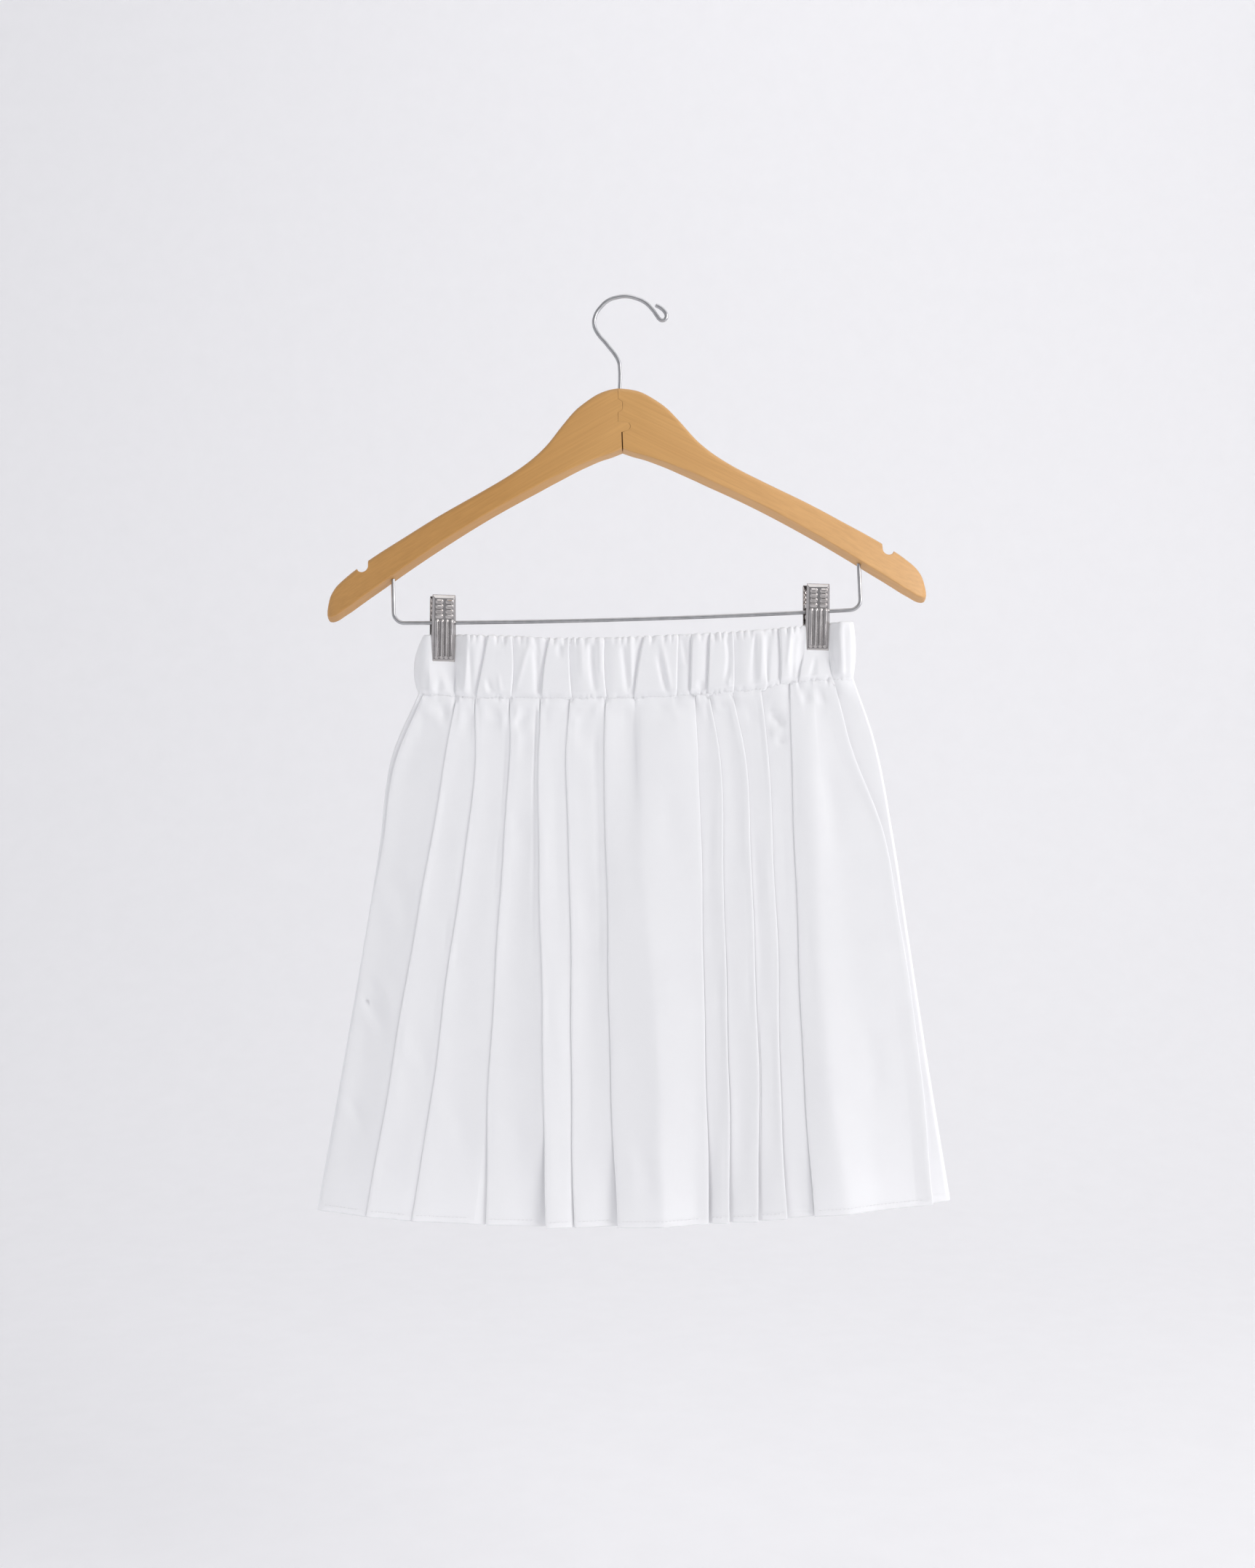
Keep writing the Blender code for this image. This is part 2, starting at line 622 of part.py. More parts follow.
def build_spring(clip, place, steel):
    """The coil on the bar, as a plain sleeve turned round its axis."""
    half = SPRING_LENGTH / 2
    profile = bmesh.new()
    corners = ((-half, SPRING_RADIUS), (half, SPRING_RADIUS), (half, SPRING_BORE), (-half, SPRING_BORE))
    points = [profile.verts.new((x * MM, 0, r * MM)) for x, r in corners]
    for one, two in zip(points, points[1:] + points[:1]):
        profile.edges.new((one, two))
    mesh = bpy.data.meshes.new(f"clip_{clip.side}_spring")
    profile.to_mesh(mesh)
    profile.free()
    sleeve = add_object(mesh.name, mesh, steel)
    turned = sleeve.modifiers.new("turned", "SCREW")
    turned.axis = "X"
    turned.steps = turned.render_steps = 16
    turned.use_merge_vertices = True
    turned.merge_threshold = 1e-5
    turned.use_normal_flip = True
    sleeve.location = place
    sleeve.rotation_euler.y = HANGER_ROLL


def build_hanger(wood, steel):
    for name, side in (("hanger_arm_left", -1), ("hanger_arm_right", 1)):
        arm = loft(name, [arm_ring(section, side) for section in ARM_SECTIONS], wood)
        arm.matrix_world = hanger_pose()
    bar = wire("trouser_bar", bar_route(), "POLY", steel)
    bar.matrix_world = hanger_pose()
    hook = wire("hanger_hook", [(x, 0, z) for x, z in HOOK_ROUTE], "BEZIER", steel)
    hook.matrix_world = Matrix.Rotation(HANGER_TILT, 4, "X")


def build_skirt(cloth):
    middle_y = bar_place(0).y
    skirt = Skirt(middle_y)
    cloth_sheet("skirt_front", skirt.rows(skirt.front_path), cloth)
    cloth_sheet("skirt_back", skirt.rows(skirt.back_path), cloth)
    front = add_clip_stations(casing_stations(FRONT_FOLDS[1:]))
    back = add_clip_stations([(-top, -low, relief) for top, low, relief in casing_stations(skirt.back)])
    loft("waist_front", casing_rings(front, -1, middle_y), cloth)
    loft("waist_back", casing_rings(back, 1, middle_y), cloth)


def main():
    for old in list(bpy.data.objects):
        bpy.data.objects.remove(old)
    for name in ("pleated_skirt", "cutters"):
        bpy.context.scene.collection.children.link(bpy.data.collections.new(name))
    cloth = material("white_cloth", (0.86, 0.86, 0.87), 0.6)
    wood = material("lacquered_wood", (0.62, 0.38, 0.2), 0.35)
    steel = material("steel", (0.66, 0.67, 0.69), 0.25, 1.0)
    build_hanger(wood, steel)
    for clip in CLIPS:
        build_clip(clip, steel)
    build_skirt(cloth)


main()
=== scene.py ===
"""Looks of a white pleated mini skirt on its wooden clip hanger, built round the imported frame.

Sizes are in millimetres in the frame's axes: +X to the viewer's right, +Y away from the viewer, +Z up.
A point of the cloth is often given as (x, n): n is its distance from the skirt's middle plane.
"""

import math
from collections import namedtuple

import bmesh
import bpy
import numpy as np
from mathutils import Matrix, Vector

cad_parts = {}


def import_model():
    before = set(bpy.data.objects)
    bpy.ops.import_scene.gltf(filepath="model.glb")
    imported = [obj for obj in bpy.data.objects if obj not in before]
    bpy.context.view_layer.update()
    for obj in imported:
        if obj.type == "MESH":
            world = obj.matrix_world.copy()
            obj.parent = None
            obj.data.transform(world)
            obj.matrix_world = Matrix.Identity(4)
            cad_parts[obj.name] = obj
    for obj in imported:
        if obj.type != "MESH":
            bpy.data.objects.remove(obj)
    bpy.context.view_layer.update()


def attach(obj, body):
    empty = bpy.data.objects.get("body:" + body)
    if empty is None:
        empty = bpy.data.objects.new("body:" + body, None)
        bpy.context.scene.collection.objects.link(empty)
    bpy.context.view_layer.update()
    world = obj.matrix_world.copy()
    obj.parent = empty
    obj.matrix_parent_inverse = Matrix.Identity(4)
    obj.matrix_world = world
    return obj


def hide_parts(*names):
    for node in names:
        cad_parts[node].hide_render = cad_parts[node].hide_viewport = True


MM = 0.001

# Driving sizes of the part, repeated from its source
WIRE_RADIUS = 1.45
HANGER_ROLL = math.radians(-1.93)
HANGER_TILT = math.radians(-6.0)
HANGER_HALF = 223.0
ARM_SWEEP = 36.0
CROWN = (-4.9, -68.2)
CLIP_YAWS = (math.radians(15.0), math.radians(8.0))
LEVELS = (0.0, 0.12, 0.3, 0.5, 0.75, 1.0)

# One row for each fold of the front, left to right: name, kind, X at LEVELS, how far the cloth runs on under
# it at the waist and at the hem, how far it stands out at LIFT_LEVELS, how much of that the cloth beside it
# comes up to at the hem, how far that cloth stays clear of it there and how widely the next turn is rounded
Fold = namedtuple("Fold", "name kind xs reach lift tuck clear round")
LIFT_LEVELS = (0.0, 0.3, 1.0)
FRONT_FOLDS = (
    Fold("side_left", "left", (-150.2, -170.2, -181.0, -193.6, -209.9, -226.4),
         (9, 11), (1.4, 1.3, 3.0), 0.3, 0, 3),
    Fold("pleat_1", "left", (-125.6, -134.2, -145.8, -158.5, -174.4, -191.6),
         (8, 13), (3.6, 4.6, 6.8), 0.95, 0.2, 8),
    Fold("pleat_2", "left", (-111.7, -112.1, -118.8, -129.7, -142.6, -157.6),
         (8, 13), (3.6, 4.6, 6.8), 0.95, 0.2, 8),
    Fold("pleat_3", "left", (-86.0, -86.6, -90.5, -95.5, -101.7, -101.8),
         (11, 15), (3.6, 4.8, 7.2), 0.9, 9.0, 8),
    Fold("pleat_4", "left", (-63.3, -64.6, -63.9, -62.7, -60.7, -58.0),
         (11, 16), (3.8, 6.2, 10.4), 0.42, 4.0, 14),
    Fold("pleat_5", "left", (-41.5, -43.9, -42.0, -41.0, -39.6, -38.0),
         (11, 12), (3.6, 5.2, 7.5), 0.78, 0.5, 5),
    Fold("pleat_6", "left", (-15.0, -16.1, -15.0, -13.3, -10.4, -6.8),
         (11, 14), (3.8, 5.6, 8.4), 0.42, 0.8, 5),
    Fold("centre_low", "soft", (4.5, 4.5, 3.0, 5.0, 9.0, 12.0),
         (0, 0), (1.4, 6.6, 10.4), 0, 0, 5),
    Fold("centre_ridge", "soft", (8.0, 10.0, 12.5, 18.2, 24.0, 26.9),
         (0, 0), (4.0, 7.6, 13.2), 0, 0, 3),
    Fold("centre_edge", "soft", (35.2, 42.5, 47.0, 49.5, 50.5, 51.0),
         (0, 0), (4.4, 6.0, 8.4), 0, 0, 3),
    Fold("pleat_7", "right", (50.3, 52.7, 54.6, 56.6, 58.5, 59.7),
         (9, 13), (3.6, 5.4, 8.4), 0.52, 0.8, 5),
    Fold("pleat_8", "right", (60.9, 68.9, 70.9, 73.3, 74.7, 75.0),
         (6.5, 11), (3.6, 5.4, 8.4), 0.52, 0.8, 5),
    Fold("pleat_9", "right", (78.1, 87.2, 91.9, 94.3, 96.5, 96.2),
         (9, 14), (3.6, 5.4, 8.6), 0.52, 0.8, 5),
    Fold("pleat_10", "right", (99.5, 105.2, 107.8, 110.8, 113.0, 117.5),
         (10, 14), (3.6, 5.4, 8.4), 0.52, 0.8, 5),
    Fold("pleat_11", "left", (121.4, 122.2, 123.7, 126.6, 131.1, 137.0),
         (10, 13), (4.2, 5.4, 8.8), 0.7, 0.4, 8),
    Fold("wave_ridge", "soft", (134.0, 136.0, 138.0, 141.0, 149.0, 161.7),
         (0, 0), (4.4, 7.0, 12), 0, 0, 4),
    Fold("wave_valley", "soft", (141.0, 146.5, 156.0, 163.5, 174.4, 186.0),
         (0, 0), (3.4, 4.6, 6.8), 0, 0, 5),
    Fold("side_valley", "soft", (148.0, 156.5, 184.0, 192.0, 204.5, 213.5),
         (0, 0), (3.6, 4.4, 5.8), 0, 0, 1.2),
    Fold("side_right", "right", (153.2, 165.4, 190.7, 203.3, 216.8, 225.7),
         (9, 12), (3.8, 4.6, 7.4), 0.35, 0, 5),
)

# X of the skirt's sides at LEVELS
SIDE_LEFT = (-155.2, -174.7, -184.2, -196.5, -213.0, -230.1)
SIDE_RIGHT = (169.3, 185.1, 198.6, 210.3, 225.2, 241.0)

# Side turns and seams: how flat a turn is, how far it lies inside the sides, how far the back runs on past a
# seam, the gap in the seam and how far the seam lies under the outermost fold
TURN_SHAPE = 0.6
TURN_INSET = 0.5
SEAM_RUN = 1.6
SEAM_GAP = 0.3
SEAM_INSET = (5.0, 5.5)

# The back's pleats on each side of its centre: how many, and at the waist and at the hem X of that centre,
# distance of the first pleat from it, pitch, unevenness and how far the cloth runs on under a pleat
BACK_PLEATS = 6
BACK_CENTRE = (-7.0, -5.5)
BACK_FIRST = (13.0, 19.0)
BACK_PITCH = (22.5, 34.0)
BACK_UNEVEN = (1.6, 3.2)
BACK_REACH = (9, 13)

# Half the skirt's depth at its sides and in its middle, at the waist and at the hem
DEEP_SIDE = (3.2, 7.0)
DEEP_MIDDLE = (4.2, 16.0)

# Lines across the front as (X, Z): the casing's top edge, the line of stitches under it and both hems
CASING_TOP = (
    (-157, -252), (-123, -251.2), (-60, -253.8), (-10, -253.6), (56, -250.6), (101, -247.8), (172, -240.6),
)
STITCH = (
    (-157, -295.2), (-114, -298.8), (8, -298.8), (61, -295.6), (99, -292.5), (122, -287.0), (172, -284.0),
)
HEM = (
    (-230, -676.6), (-158, -682.9), (-58, -686.8), (0, -686.4), (96, -682.5), (139, -678.6), (241, -670.4),
)
HEM_BACK = (
    (-241, -677.5), (-150, -682.0), (0, -685.6), (22, -686.0), (30, -688.0), (58, -687.2), (64, -683.6),
    (241, -671.0),
)

# Gathering into the stitch line: how far down it reaches, as a share of the skirt's length, and the lift of
# a fold and of the cloth beside it on the line itself
GATHER_DEPTH = 0.055
LIFT_GATHERED = 2.4
TUCK_GATHERED = 0.95

# Radius of a fold on the stitch line, just under it and at the hem, and the space between its layers
RADIUS_GATHERED = 0.2
RADIUS_HIGH = 0.19
FOLD_RADIUS = 0.27
FOLD_CLOSE = 0.33

# How much of a fold's lift the cloth beside it comes up to, and the level from which that nears the hem's
TUCK_HIGH = {"left": 0.97, "right": 0.76}
TUCK_FROM = 0.78

# Gap beside a fold: the narrowest, the least that counts as wide, the levels from which a narrow and a wide
# one open, how the cloth beside them is rounded, how far the floor of a wide one lies under that cloth at
# first, how far it sinks as the gap opens, and how it is rounded
NARROWEST_GAP = 0.35
WIDE_GAP = 3.0
GAP_OPENS = (0.3, 0.78)
GAP_ROUND = (2.5, 0.5)
GAP_STEP = 0.15
GAP_FLOOR = 1.1
GAP_FLOOR_ROUND = 0.8

# Shoulder where a panel leaves the layers under its fold: share of the lift, what it adds to those layers,
# how far past them it lies and how far it stays from the next fold
SHOULDER_SHARE = 0.76
SHOULDER_OVER = 0.25
SHOULDER_RUN = 0.8
SHOULDER_CLEAR = 2.2

# Dips of the panels beside left folds, in the panels' order: their depths, place and width as shares of a
# panel, and the levels over which they set in and fade
VALLEYS = (0.1, 0.1, 0.25, 0.85, 0.3, 0.6, 0.0, 0.0, 0.0, 0.0, 0.3)
VALLEY_PLACE = 0.85
VALLEY_WIDE = 0.11
VALLEY_SETS_IN = 0.03
VALLEY_FADES = (0.2, 0.7)

# Valley along the stitch line: the line's height over the layers, how far the cloth puffs up beside it, over
# what distance and down to where, depth and height of its puckers, and how far the skirt and its rows run on
# and sink under the casing
SEWN_LIFT = 2.2
PUFF = 1.2
PUFF_RUN = 4.2
PUFF_ENDS = 17.0
PUCKER = 1.3
PUCKER_TALL = 2.6
UNDER_CASING = 0.008
UNDER_DEEP = 0.9
UNDER_SKIRT = 3.0

# Notches in that line where the casing's overlapping and soft folds run into it, as (depth, width), how tall
# they are, and how far from the middle plane a column has to lie to be drawn in at all
NOTCH_OVERLAP = (1.25, 1.1)
NOTCH_SOFT = (0.5, 1.5)
FOLD_NOTCH_TALL = 7.0
TURN_FREE = 1.5

# Turned hem, as (amount, width): how much thicker it is, and the groove along its stitches. Then the share
# of a panel at each side that its unevenness leaves flat.
HEM_THICKER = (0.28, 0.8)
HEM_GROOVE = (0.3, 0.9)
PANEL_EDGE = 0.16

# Cloth of the skirt: levels with a number of rows from one to the next, distance of the points across it
# where it shows and where it is hidden, steps of a fold's turn and of a rounded corner, and thickness
ROW_ENDS = (-UNDER_CASING, 0.0, 0.05, 0.16, 0.975, 1.0)
FRONT_ROWS = (2, 14, 18, 92, 9)
BACK_ROWS = (2, 10, 12, 62, 8)
POINT_SPACING = 3.4
HIDDEN_SPACING = 3 * POINT_SPACING
ARC_STEPS = 4
CORNER_STEPS = 3
SHEET_THICK = 0.3

# How a crease bows as a share of its length, how it tapers at its start and at its end, and the lip along one
# side of it as (share of its depth, distance in widths)
CREASE_BOW = 0.06
CREASE_STARTS = (0.35, 0.3)
CREASE_ENDS = (0.45, 0.2)
CREASE_LIP = (0.45, 1.7)

# Creases, from (x0, z0) to (x1, z1), with their width and depth. A negative depth is a ridge.
Crease = namedtuple("Crease", "x0 z0 x1 z1 width depth")
FRONT_CREASES = [Crease(*row) for row in (
    (-147.3, -297, -128.5, -317, 5, 1.9),
    (-139, -299, -137, -309, 3, 0.9),
    (-119, -300, -121.5, -330, 3, 0.8),
    (-103, -299, -97, -316, 3.4, 1.2),
    (-94, -301, -92, -326, 2.8, -0.7),
    (-71.5, -304, -85, -322, 4.2, 1.7),
    (-74, -322, -79, -346, 4.5, 0.8),
    (-52, -300, -54, -317, 3.2, -0.8),
    (-38, -300, -39.5, -316, 2.6, 1.1),
    (-28.6, -299, -36, -322, 3.2, 0.9),
    (-22, -299, -24, -312, 2.4, -0.6),
    (-36, -322, -20, -345, 6, 0.5),
    (-3.9, -300, -13, -308, 2.2, 1.5),
    (22.4, -294, 23, -307, 3.4, 1.8),
    (31, -300, 38, -318, 3, -0.7),
    (46, -299, 49, -320, 2.6, 0.9),
    (69, -292, 69.6, -308, 3.2, 2.3),
    (62.5, -298, 66, -315, 2.2, -0.6),
    (85, -297, 92, -318, 3.4, 0.8),
    (103.5, -308, 116.5, -322.5, 3, 2.8),
    (116.5, -322.5, 112, -334, 2.6, 2),
    (110, -296, 113, -312, 3, -0.8),
    (128.6, -289, 133.6, -303, 3, 1),
    (139.4, -288, 147, -306, 3, 0.8),
    (158, -288, 164, -304, 2.6, -0.6),
    (-197, -517, -178, -548, 4, 1),
    (-186, -500, -172, -536, 5, -0.7),
    (-207, -594, -192, -620, 3.8, 1),
    (-199, -606, -186, -622, 3.4, -0.6),
    (-176, -430, -160, -470, 7, 0.7),
    (-160, -540, -146, -580, 6, 0.6),
    (-165, -566, -160, -604, 5, 0.5),
    (-139, -452, -127, -506, 6, 0.5),
    (-133, -590, -118, -634, 7, 0.6),
    (-84, -380, -74, -422, 7, 0.6),
    (-86, -606, -78, -648, 7, 0.5),
    (-30, -440, -22, -500, 8, 0.4),
    (6, -620, 16, -668, 6, 0.6),
    (26, -360, 31, -420, 7, 0.5),
    (146, -350, 152, -420, 6, 0.5),
    (176, -540, 182, -600, 6, 0.5),
)]
BACK_CREASES = [Crease(*row) for row in (
    (-168, -420, -150, -462, 6, 0.9),
    (-120, -530, -104, -572, 6, 0.8),
    (-96, -360, -88, -404, 6, 0.7),
    (-48, -600, -36, -640, 6, 0.7),
    (-30, -380, -22, -420, 5, 0.6),
    (38, -470, 26, -520, 7, 0.7),
    (76, -590, 62, -634, 6, 0.8),
    (104, -350, 96, -390, 5, 0.7),
    (150, -500, 134, -540, 6, 0.9),
    (186, -596, 170, -640, 6, 0.8),
)]

# Casing: X of its ends on the stitch line, half way and at the top, and half its depth outside and inside,
# on the stitch line and at the top, with the belly between them and the least wall
CASING_LEFT = (-154.0, -158.4, -151.0)
CASING_RIGHT = (168.4, 170.8, 169.0)
CASING_HALF = (8.9, 8.0)
CASING_INNER = (4.9, 4.2)
CASING_BELLY = 0.5
CASING_WALL = 0.9

# Its columns and rows, how they crowd towards the stitch line, how far it runs under that line, the height
# from which it turns over, the angles of the columns that round off its ends, and where its even columns
# end
CASING_SPACING = 0.6
CASING_ROWS = 30
CASING_CROWDING = 1.15
CASING_UNDER = 1.1
CASING_INNER_ROWS = 8
CASING_TOP_ROWS = 5
TOP_TURN = 0.965
END_ANGLES = (80, 68, 56, 44, 32, 21, 11, 2)
CASING_END = 8.0
COLUMNS_PAST_END = 20.0

# Where the clips pinch it, half its depth there, how far the pinch goes on past a plate, over what distance
# the casing recovers, and how much of its relief the pinch takes
CLIP_PLACES = (-136.6, 141.2)
PINCH_HALF = 3.2
PINCH_PAST = 1.0
PINCH_WIDTH = 9.0
PINCH_FLATTENS = 0.9

# How the pinch and the clips' shift set in up the casing, as (start, rise)
GRIP_RISE = (0.1, 1.7)
SHIFT_RISE = (0.25, 1.6)

# How the casing leaves the stitch line: (start, run) of its outer face, share of the relief that shows on the
# line and over what height it comes out, then the lining's distance behind the groove, over what height it
# settles and its share of the relief
OUTER_SETTLES = (0.3, 5.0)
RELIEF_LOW = 0.3
RELIEF_RUN = 5.0
LINING_BEHIND = 1.2
LINING_SETTLES = 6.0
LINING_RELIEF = 0.2

# Gathers of the casing's front, left to right: X at its top edge, half way and on the stitch line, the
# heights between which it shows, its width and depth (a ridge when negative), which side of it hangs over
# it (1 is its right) and how it widens (1 towards the top, -1 towards the stitches)
Gather = namedtuple("Gather", "top mid low start end width depth lean flare", defaults=(0, 0))
FRONT_GATHERS = [Gather(*row) for row in (
    (-155, -157, -153, 0, 0.85, 1.5, 1),
    (-150.5, -153.5, -149, 0, 0.9, 1.6, 1.5),
    (-146, -148.5, -146.5, -0.2, 0.5, 1.5, 1.5, 0, -1),
    (-139.5, -138.5, -139.5, -0.2, 0.34, 1.9, 1.7, 0, -1),
    (-143, -138, -131, 0.02, 0.5, 2.6, -0.8),
    (-126.6, -126.2, -125.8, -0.2, 0.98, 1, 2.7, 1),
    (-125, -120.5, -121.8, 0.55, 0.97, 1.3, 1.5, 0, 1),
    (-121, -123.6, -118, 0.36, 0.62, 1.2, 1.4),
    (-117, -115.4, -114.8, 0, 0.9, 2, 1.7),
    (-101.8, -106, -111, -0.2, 1.1, 1.1, 2.9, 1),
    (-104.5, -104.5, -97.8, 0.02, 0.36, 1.7, 1.9, 0, -1),
    (-110, -107, -103.2, 0, 0.34, 1.6, -0.8),
    (-98.5, -95.5, -92.3, 0, 0.42, 1.6, -0.8),
    (-92.8, -93.6, -95, 0.74, 1.1, 1.7, 1.7, 0, 1),
    (-85.6, -84.2, -85.9, -0.2, 1.1, 0.95, 2.3, -1),
    (-77.5, -74.5, -76, 0.8, 1.1, 1.7, 1.6, 0, 1),
    (-70.2, -77, -83, 0.05, 0.95, 2.2, -0.9),
    (-68.8, -66.2, -65, 0, 0.9, 2.1, 2),
    (-67.5, -63.5, -62, 0.6, 1.1, 1.2, 1.3, 0, 1),
    (-56.1, -60.4, -62.4, -0.2, 1.1, 1, 3.1, 1),
    (-49.1, -49.8, -50.4, 0.62, 1, 1.6, 1.6, 0, 1),
    (-52.5, -55.5, -57.5, 0, 0.22, 1.6, 1.1, 0, -1),
    (-42.9, -42.6, -40.8, -0.2, 1.1, 0.95, 2.4, -1),
    (-33.5, -32.6, -31.6, 0.3, 0.95, 2.6, -0.8),
    (-25.5, -25.6, -21.8, 0.05, 0.96, 2.2, 2),
    (-19.6, -19.4, -18.6, 0.3, 1.1, 1.3, -0.8),
    (-16.6, -17, -15, -0.2, 1.1, 0.9, 2.6, -1),
    (-8, -8, -7, -0.2, 0.2, 2.4, 1.3, 0, -1),
    (-3.2, -1, 1.6, 0.05, 0.92, 2.1, 1.8),
    (3, 4, 5, 0.1, 1, 1.6, -1),
    (13.4, 9.2, 6.2, -0.3, 1.1, 1.2, 3.3, 1),
    (21.2, 25.4, 30.8, 0, 0.74, 2.3, 1.9),
    (24.6, 29.4, 33.6, 0.05, 0.95, 1.9, -0.9),
    (38.2, 37.2, 36.8, -0.2, 1.1, 0.9, 2.6, -1),
    (40.2, 44, 43, 0.45, 1.1, 1.4, 1.4, 0, 1),
    (48.6, 48.2, 47.6, -0.2, 1.1, 1, 2.6, 1),
    (54.6, 54.8, 55.4, -0.3, 0.3, 1.9, 1.8, 0, -1),
    (62.2, 61.3, 60.2, -0.2, 1.1, 1, 2.8, 1),
    (66.5, 66, 65, 0.78, 1.1, 1.3, 1.4, 0, 1),
    (73, 75.6, 70.6, 0.15, 1.05, 1.9, 1.7),
    (70.8, 73.6, 76.6, 0, 0.3, 1.5, -0.9),
    (78.4, 79.2, 79, -0.2, 1.1, 0.95, 1.9, -1),
    (84, 85, 86, -0.2, 0.18, 1.7, 1.3, 0, -1),
    (95.8, 94.2, 95, 0, 0.98, 2.2, 1.6, 0, -1),
    (100.4, 100, 99, 0.1, 1, 2, -0.9),
    (105.6, 104.2, 105, 0, 1.1, 1.7, 1.5, 0, 1),
    (113, 114.6, 114.2, -0.2, 1.1, 1.2, 2.1, 1),
    (121.8, 119.6, 118, 0.25, 1.05, 1.3, -0.9),
    (125, 123.4, 122.8, 0, 0.9, 1.9, 1.9),
    (133, 131, 128, -0.2, 0.85, 1.2, 2.2, 1),
    (143.4, 140.8, 136.4, 0, 0.5, 1.7, 1.9, 0, -1),
    (147.5, 150, 154.6, -0.2, 0.5, 1.3, 2.2),
    (150.6, 151, 153.2, -0.2, 1.1, 1.1, 2.2, 1),
    (156.4, 156.8, 157.6, 0, 1, 2, -0.8),
    (162, 162.4, 163.4, -0.2, 1, 1.7, 1.9),
)]

# How gathers taper and flare, how deep a soft one is pressed, the steep and the gentle side of an
# overlapping one as (width, power), how far it is drawn over and where, in widths
GATHER_TAPER = 0.2
GATHER_FLARE = 0.75
SOFT_SHARE = 0.8
OVERLAP_STEEP = (0.5, 2.0)
OVERLAP_GENTLE = (4.0, 1.2)
OVERLAP_DRAW = 1.35
OVERLAP_PLACE = (1.1, 0.9)

# Tucks along the casing's top edge: their depth, how far they cut into it and from what height they set in
FRILL_DEEP = 1.5
FRILL_CUT = 1.25
FRILL_FROM = 0.86

# Hanger arm, level and from the crown: distance from the middle, top edge, lower edge and thickness
ArmSection = namedtuple("ArmSection", "out top low thick")
ARM_SECTIONS = [ArmSection(*row) for row in (
    (0.15, -2, -49, 13.5),
    (8, -3.1, -52, 13.5),
    (16, -5.6, -54.4, 13.4),
    (26, -11.6, -58.4, 13.2),
    (34, -17.8, -61.9, 13),
    (42.5, -27.2, -66, 13),
    (55, -42.2, -72, 13),
    (62, -48.8, -75.5, 13),
    (70, -55, -79.3, 13),
    (84, -63.8, -86, 13),
    (104, -74.2, -96.1, 13),
    (139, -91.2, -115.2, 13),
    (166, -105.3, -130.8, 13),
    (182, -113.6, -140.4, 13),
    (191.6, -118.8, -146, 12.8),
    (200.8, -124.2, -151.5, 12.6),
    (206.5, -127.8, -155, 12.4),
    (212.4, -132, -158.2, 12),
    (217, -135.6, -160.8, 11.4),
    (220.4, -139.7, -161.9, 10.6),
    (222.8, -144, -162, 9),
    (224.4, -149.6, -161.2, 6.6),
    (225.2, -153.6, -159.6, 4.4),
)]

# Notch of an arm: distance from the middle, radius, depth of its centre under the top edge and rounding of
# its rim. Then the arm's rounding at its top and lower edge, how far its front's lower edge slants up and
# between which distances that sets in, the steps down a face, and the span of the tip's close rings.
NOTCH = (196.8, 4.7, 1.6)
NOTCH_ROUND = 0.9
TOP_ROUND = 4.6
LOW_ROUND = 1.1
LOW_SLANT = 2.3
SLANT_FROM = (10.0, 60.0)
FACE_STEPS = 36
ARM_TIP = (217.0, 225.2)

# Wood: slope of the grain, colour of the left arm, darkened with painted shade, the neck's own colour, colour
# of the right arm, lightened with painted light from the right, and where the neck's colour gives way
ARM_SLOPE = math.radians(27.5)
# Painted shade: the left arm's colour is darker, as the light from the right falls on it less
WOOD_LEFT_PAINTED_SHADE = (0.585, 0.31, 0.1)
WOOD_NECK = (0.66, 0.37, 0.135)
# Painted light: the right arm's colour is lighter, as the light from the right falls on it more
WOOD_RIGHT_PAINTED_LIGHT = (0.71, 0.405, 0.163)
WOOD_BLEND = (0.01, 0.09)

# Finger joint where the arms meet: height under the top and how far the seam steps to the right there
JOINT_SEAM = (
    (0.0, -1.5), (-12.0, -1.5), (-12.6, 1.5), (-20.0, 1.5), (-20.8, -2.0), (-28.5, -2.0), (-29.1, 5.2),
    (-31.4, 6.8), (-33.6, 6.6), (-35.3, 4.6), (-35.9, 0.4), (-52.0, 0.4),
)

# Half the seam's width above and under its last finger, the overlap at its back, the height at which it
# opens and how far from the middle all this fades out
JOINT_LINE = (0.07, 0.42)
JOINT_CLOSED = -0.16
JOINT_OPENS = -35.2
JOINT_FADE = 13.0

# Hook: the middle line of its wire, in the upright plane
HOOK_ROUTE = (
    (-4.9, -71.0), (-4.9, -54.1), (-5.9, -48.4), (-14.6, -35.6), (-21.6, -26.8), (-24.1, -20.1),
    (-23.2, -13.4), (-19.1, -6.8), (-13.3, -1.6), (-6.6, 0.8), (0.0, 1.45), (7.5, -0.2), (14.2, -3.5),
    (19.2, -8.6), (22.6, -13.4), (24.4, -15.9), (26.8, -17.1), (29.1, -15.9), (29.7, -13.0), (28.2, -10.0),
    (25.4, -7.4), (21.9, -5.4),
)

# Trouser bar, level and from the crown: half its length, height, sag, radius of its corners and top of its
# legs, and how it sits higher than its even height as (amount, slope)
BAR_HALF = 173.8
BAR_LEVEL = -170.0
BAR_SAG = 2.2
BAR_CORNER = 8.0
BAR_LEG_TOP = -134.6
BAR_RAISE = (1.35, -0.004)

# Clip: plate width, thickness and height, how much narrower its top is, its top over the bar, half the space
# between the plates at top and jaw, width and slope of the bent edges at the sides, the top and the jaw
PLATE = (18.4, 0.7, 49.4)
PLATE_NARROW = 1.6
PLATE_OVER_BAR = 20.1
PLATE_HALF_GAP = (7.4, 3.9)
BENT_SIDES = (1.5, 1.1)
BENT_TOP = (2.8, 0.75)
BENT_JAW = (1.3, 0.6)
PLATE_GRID = (70, 116)

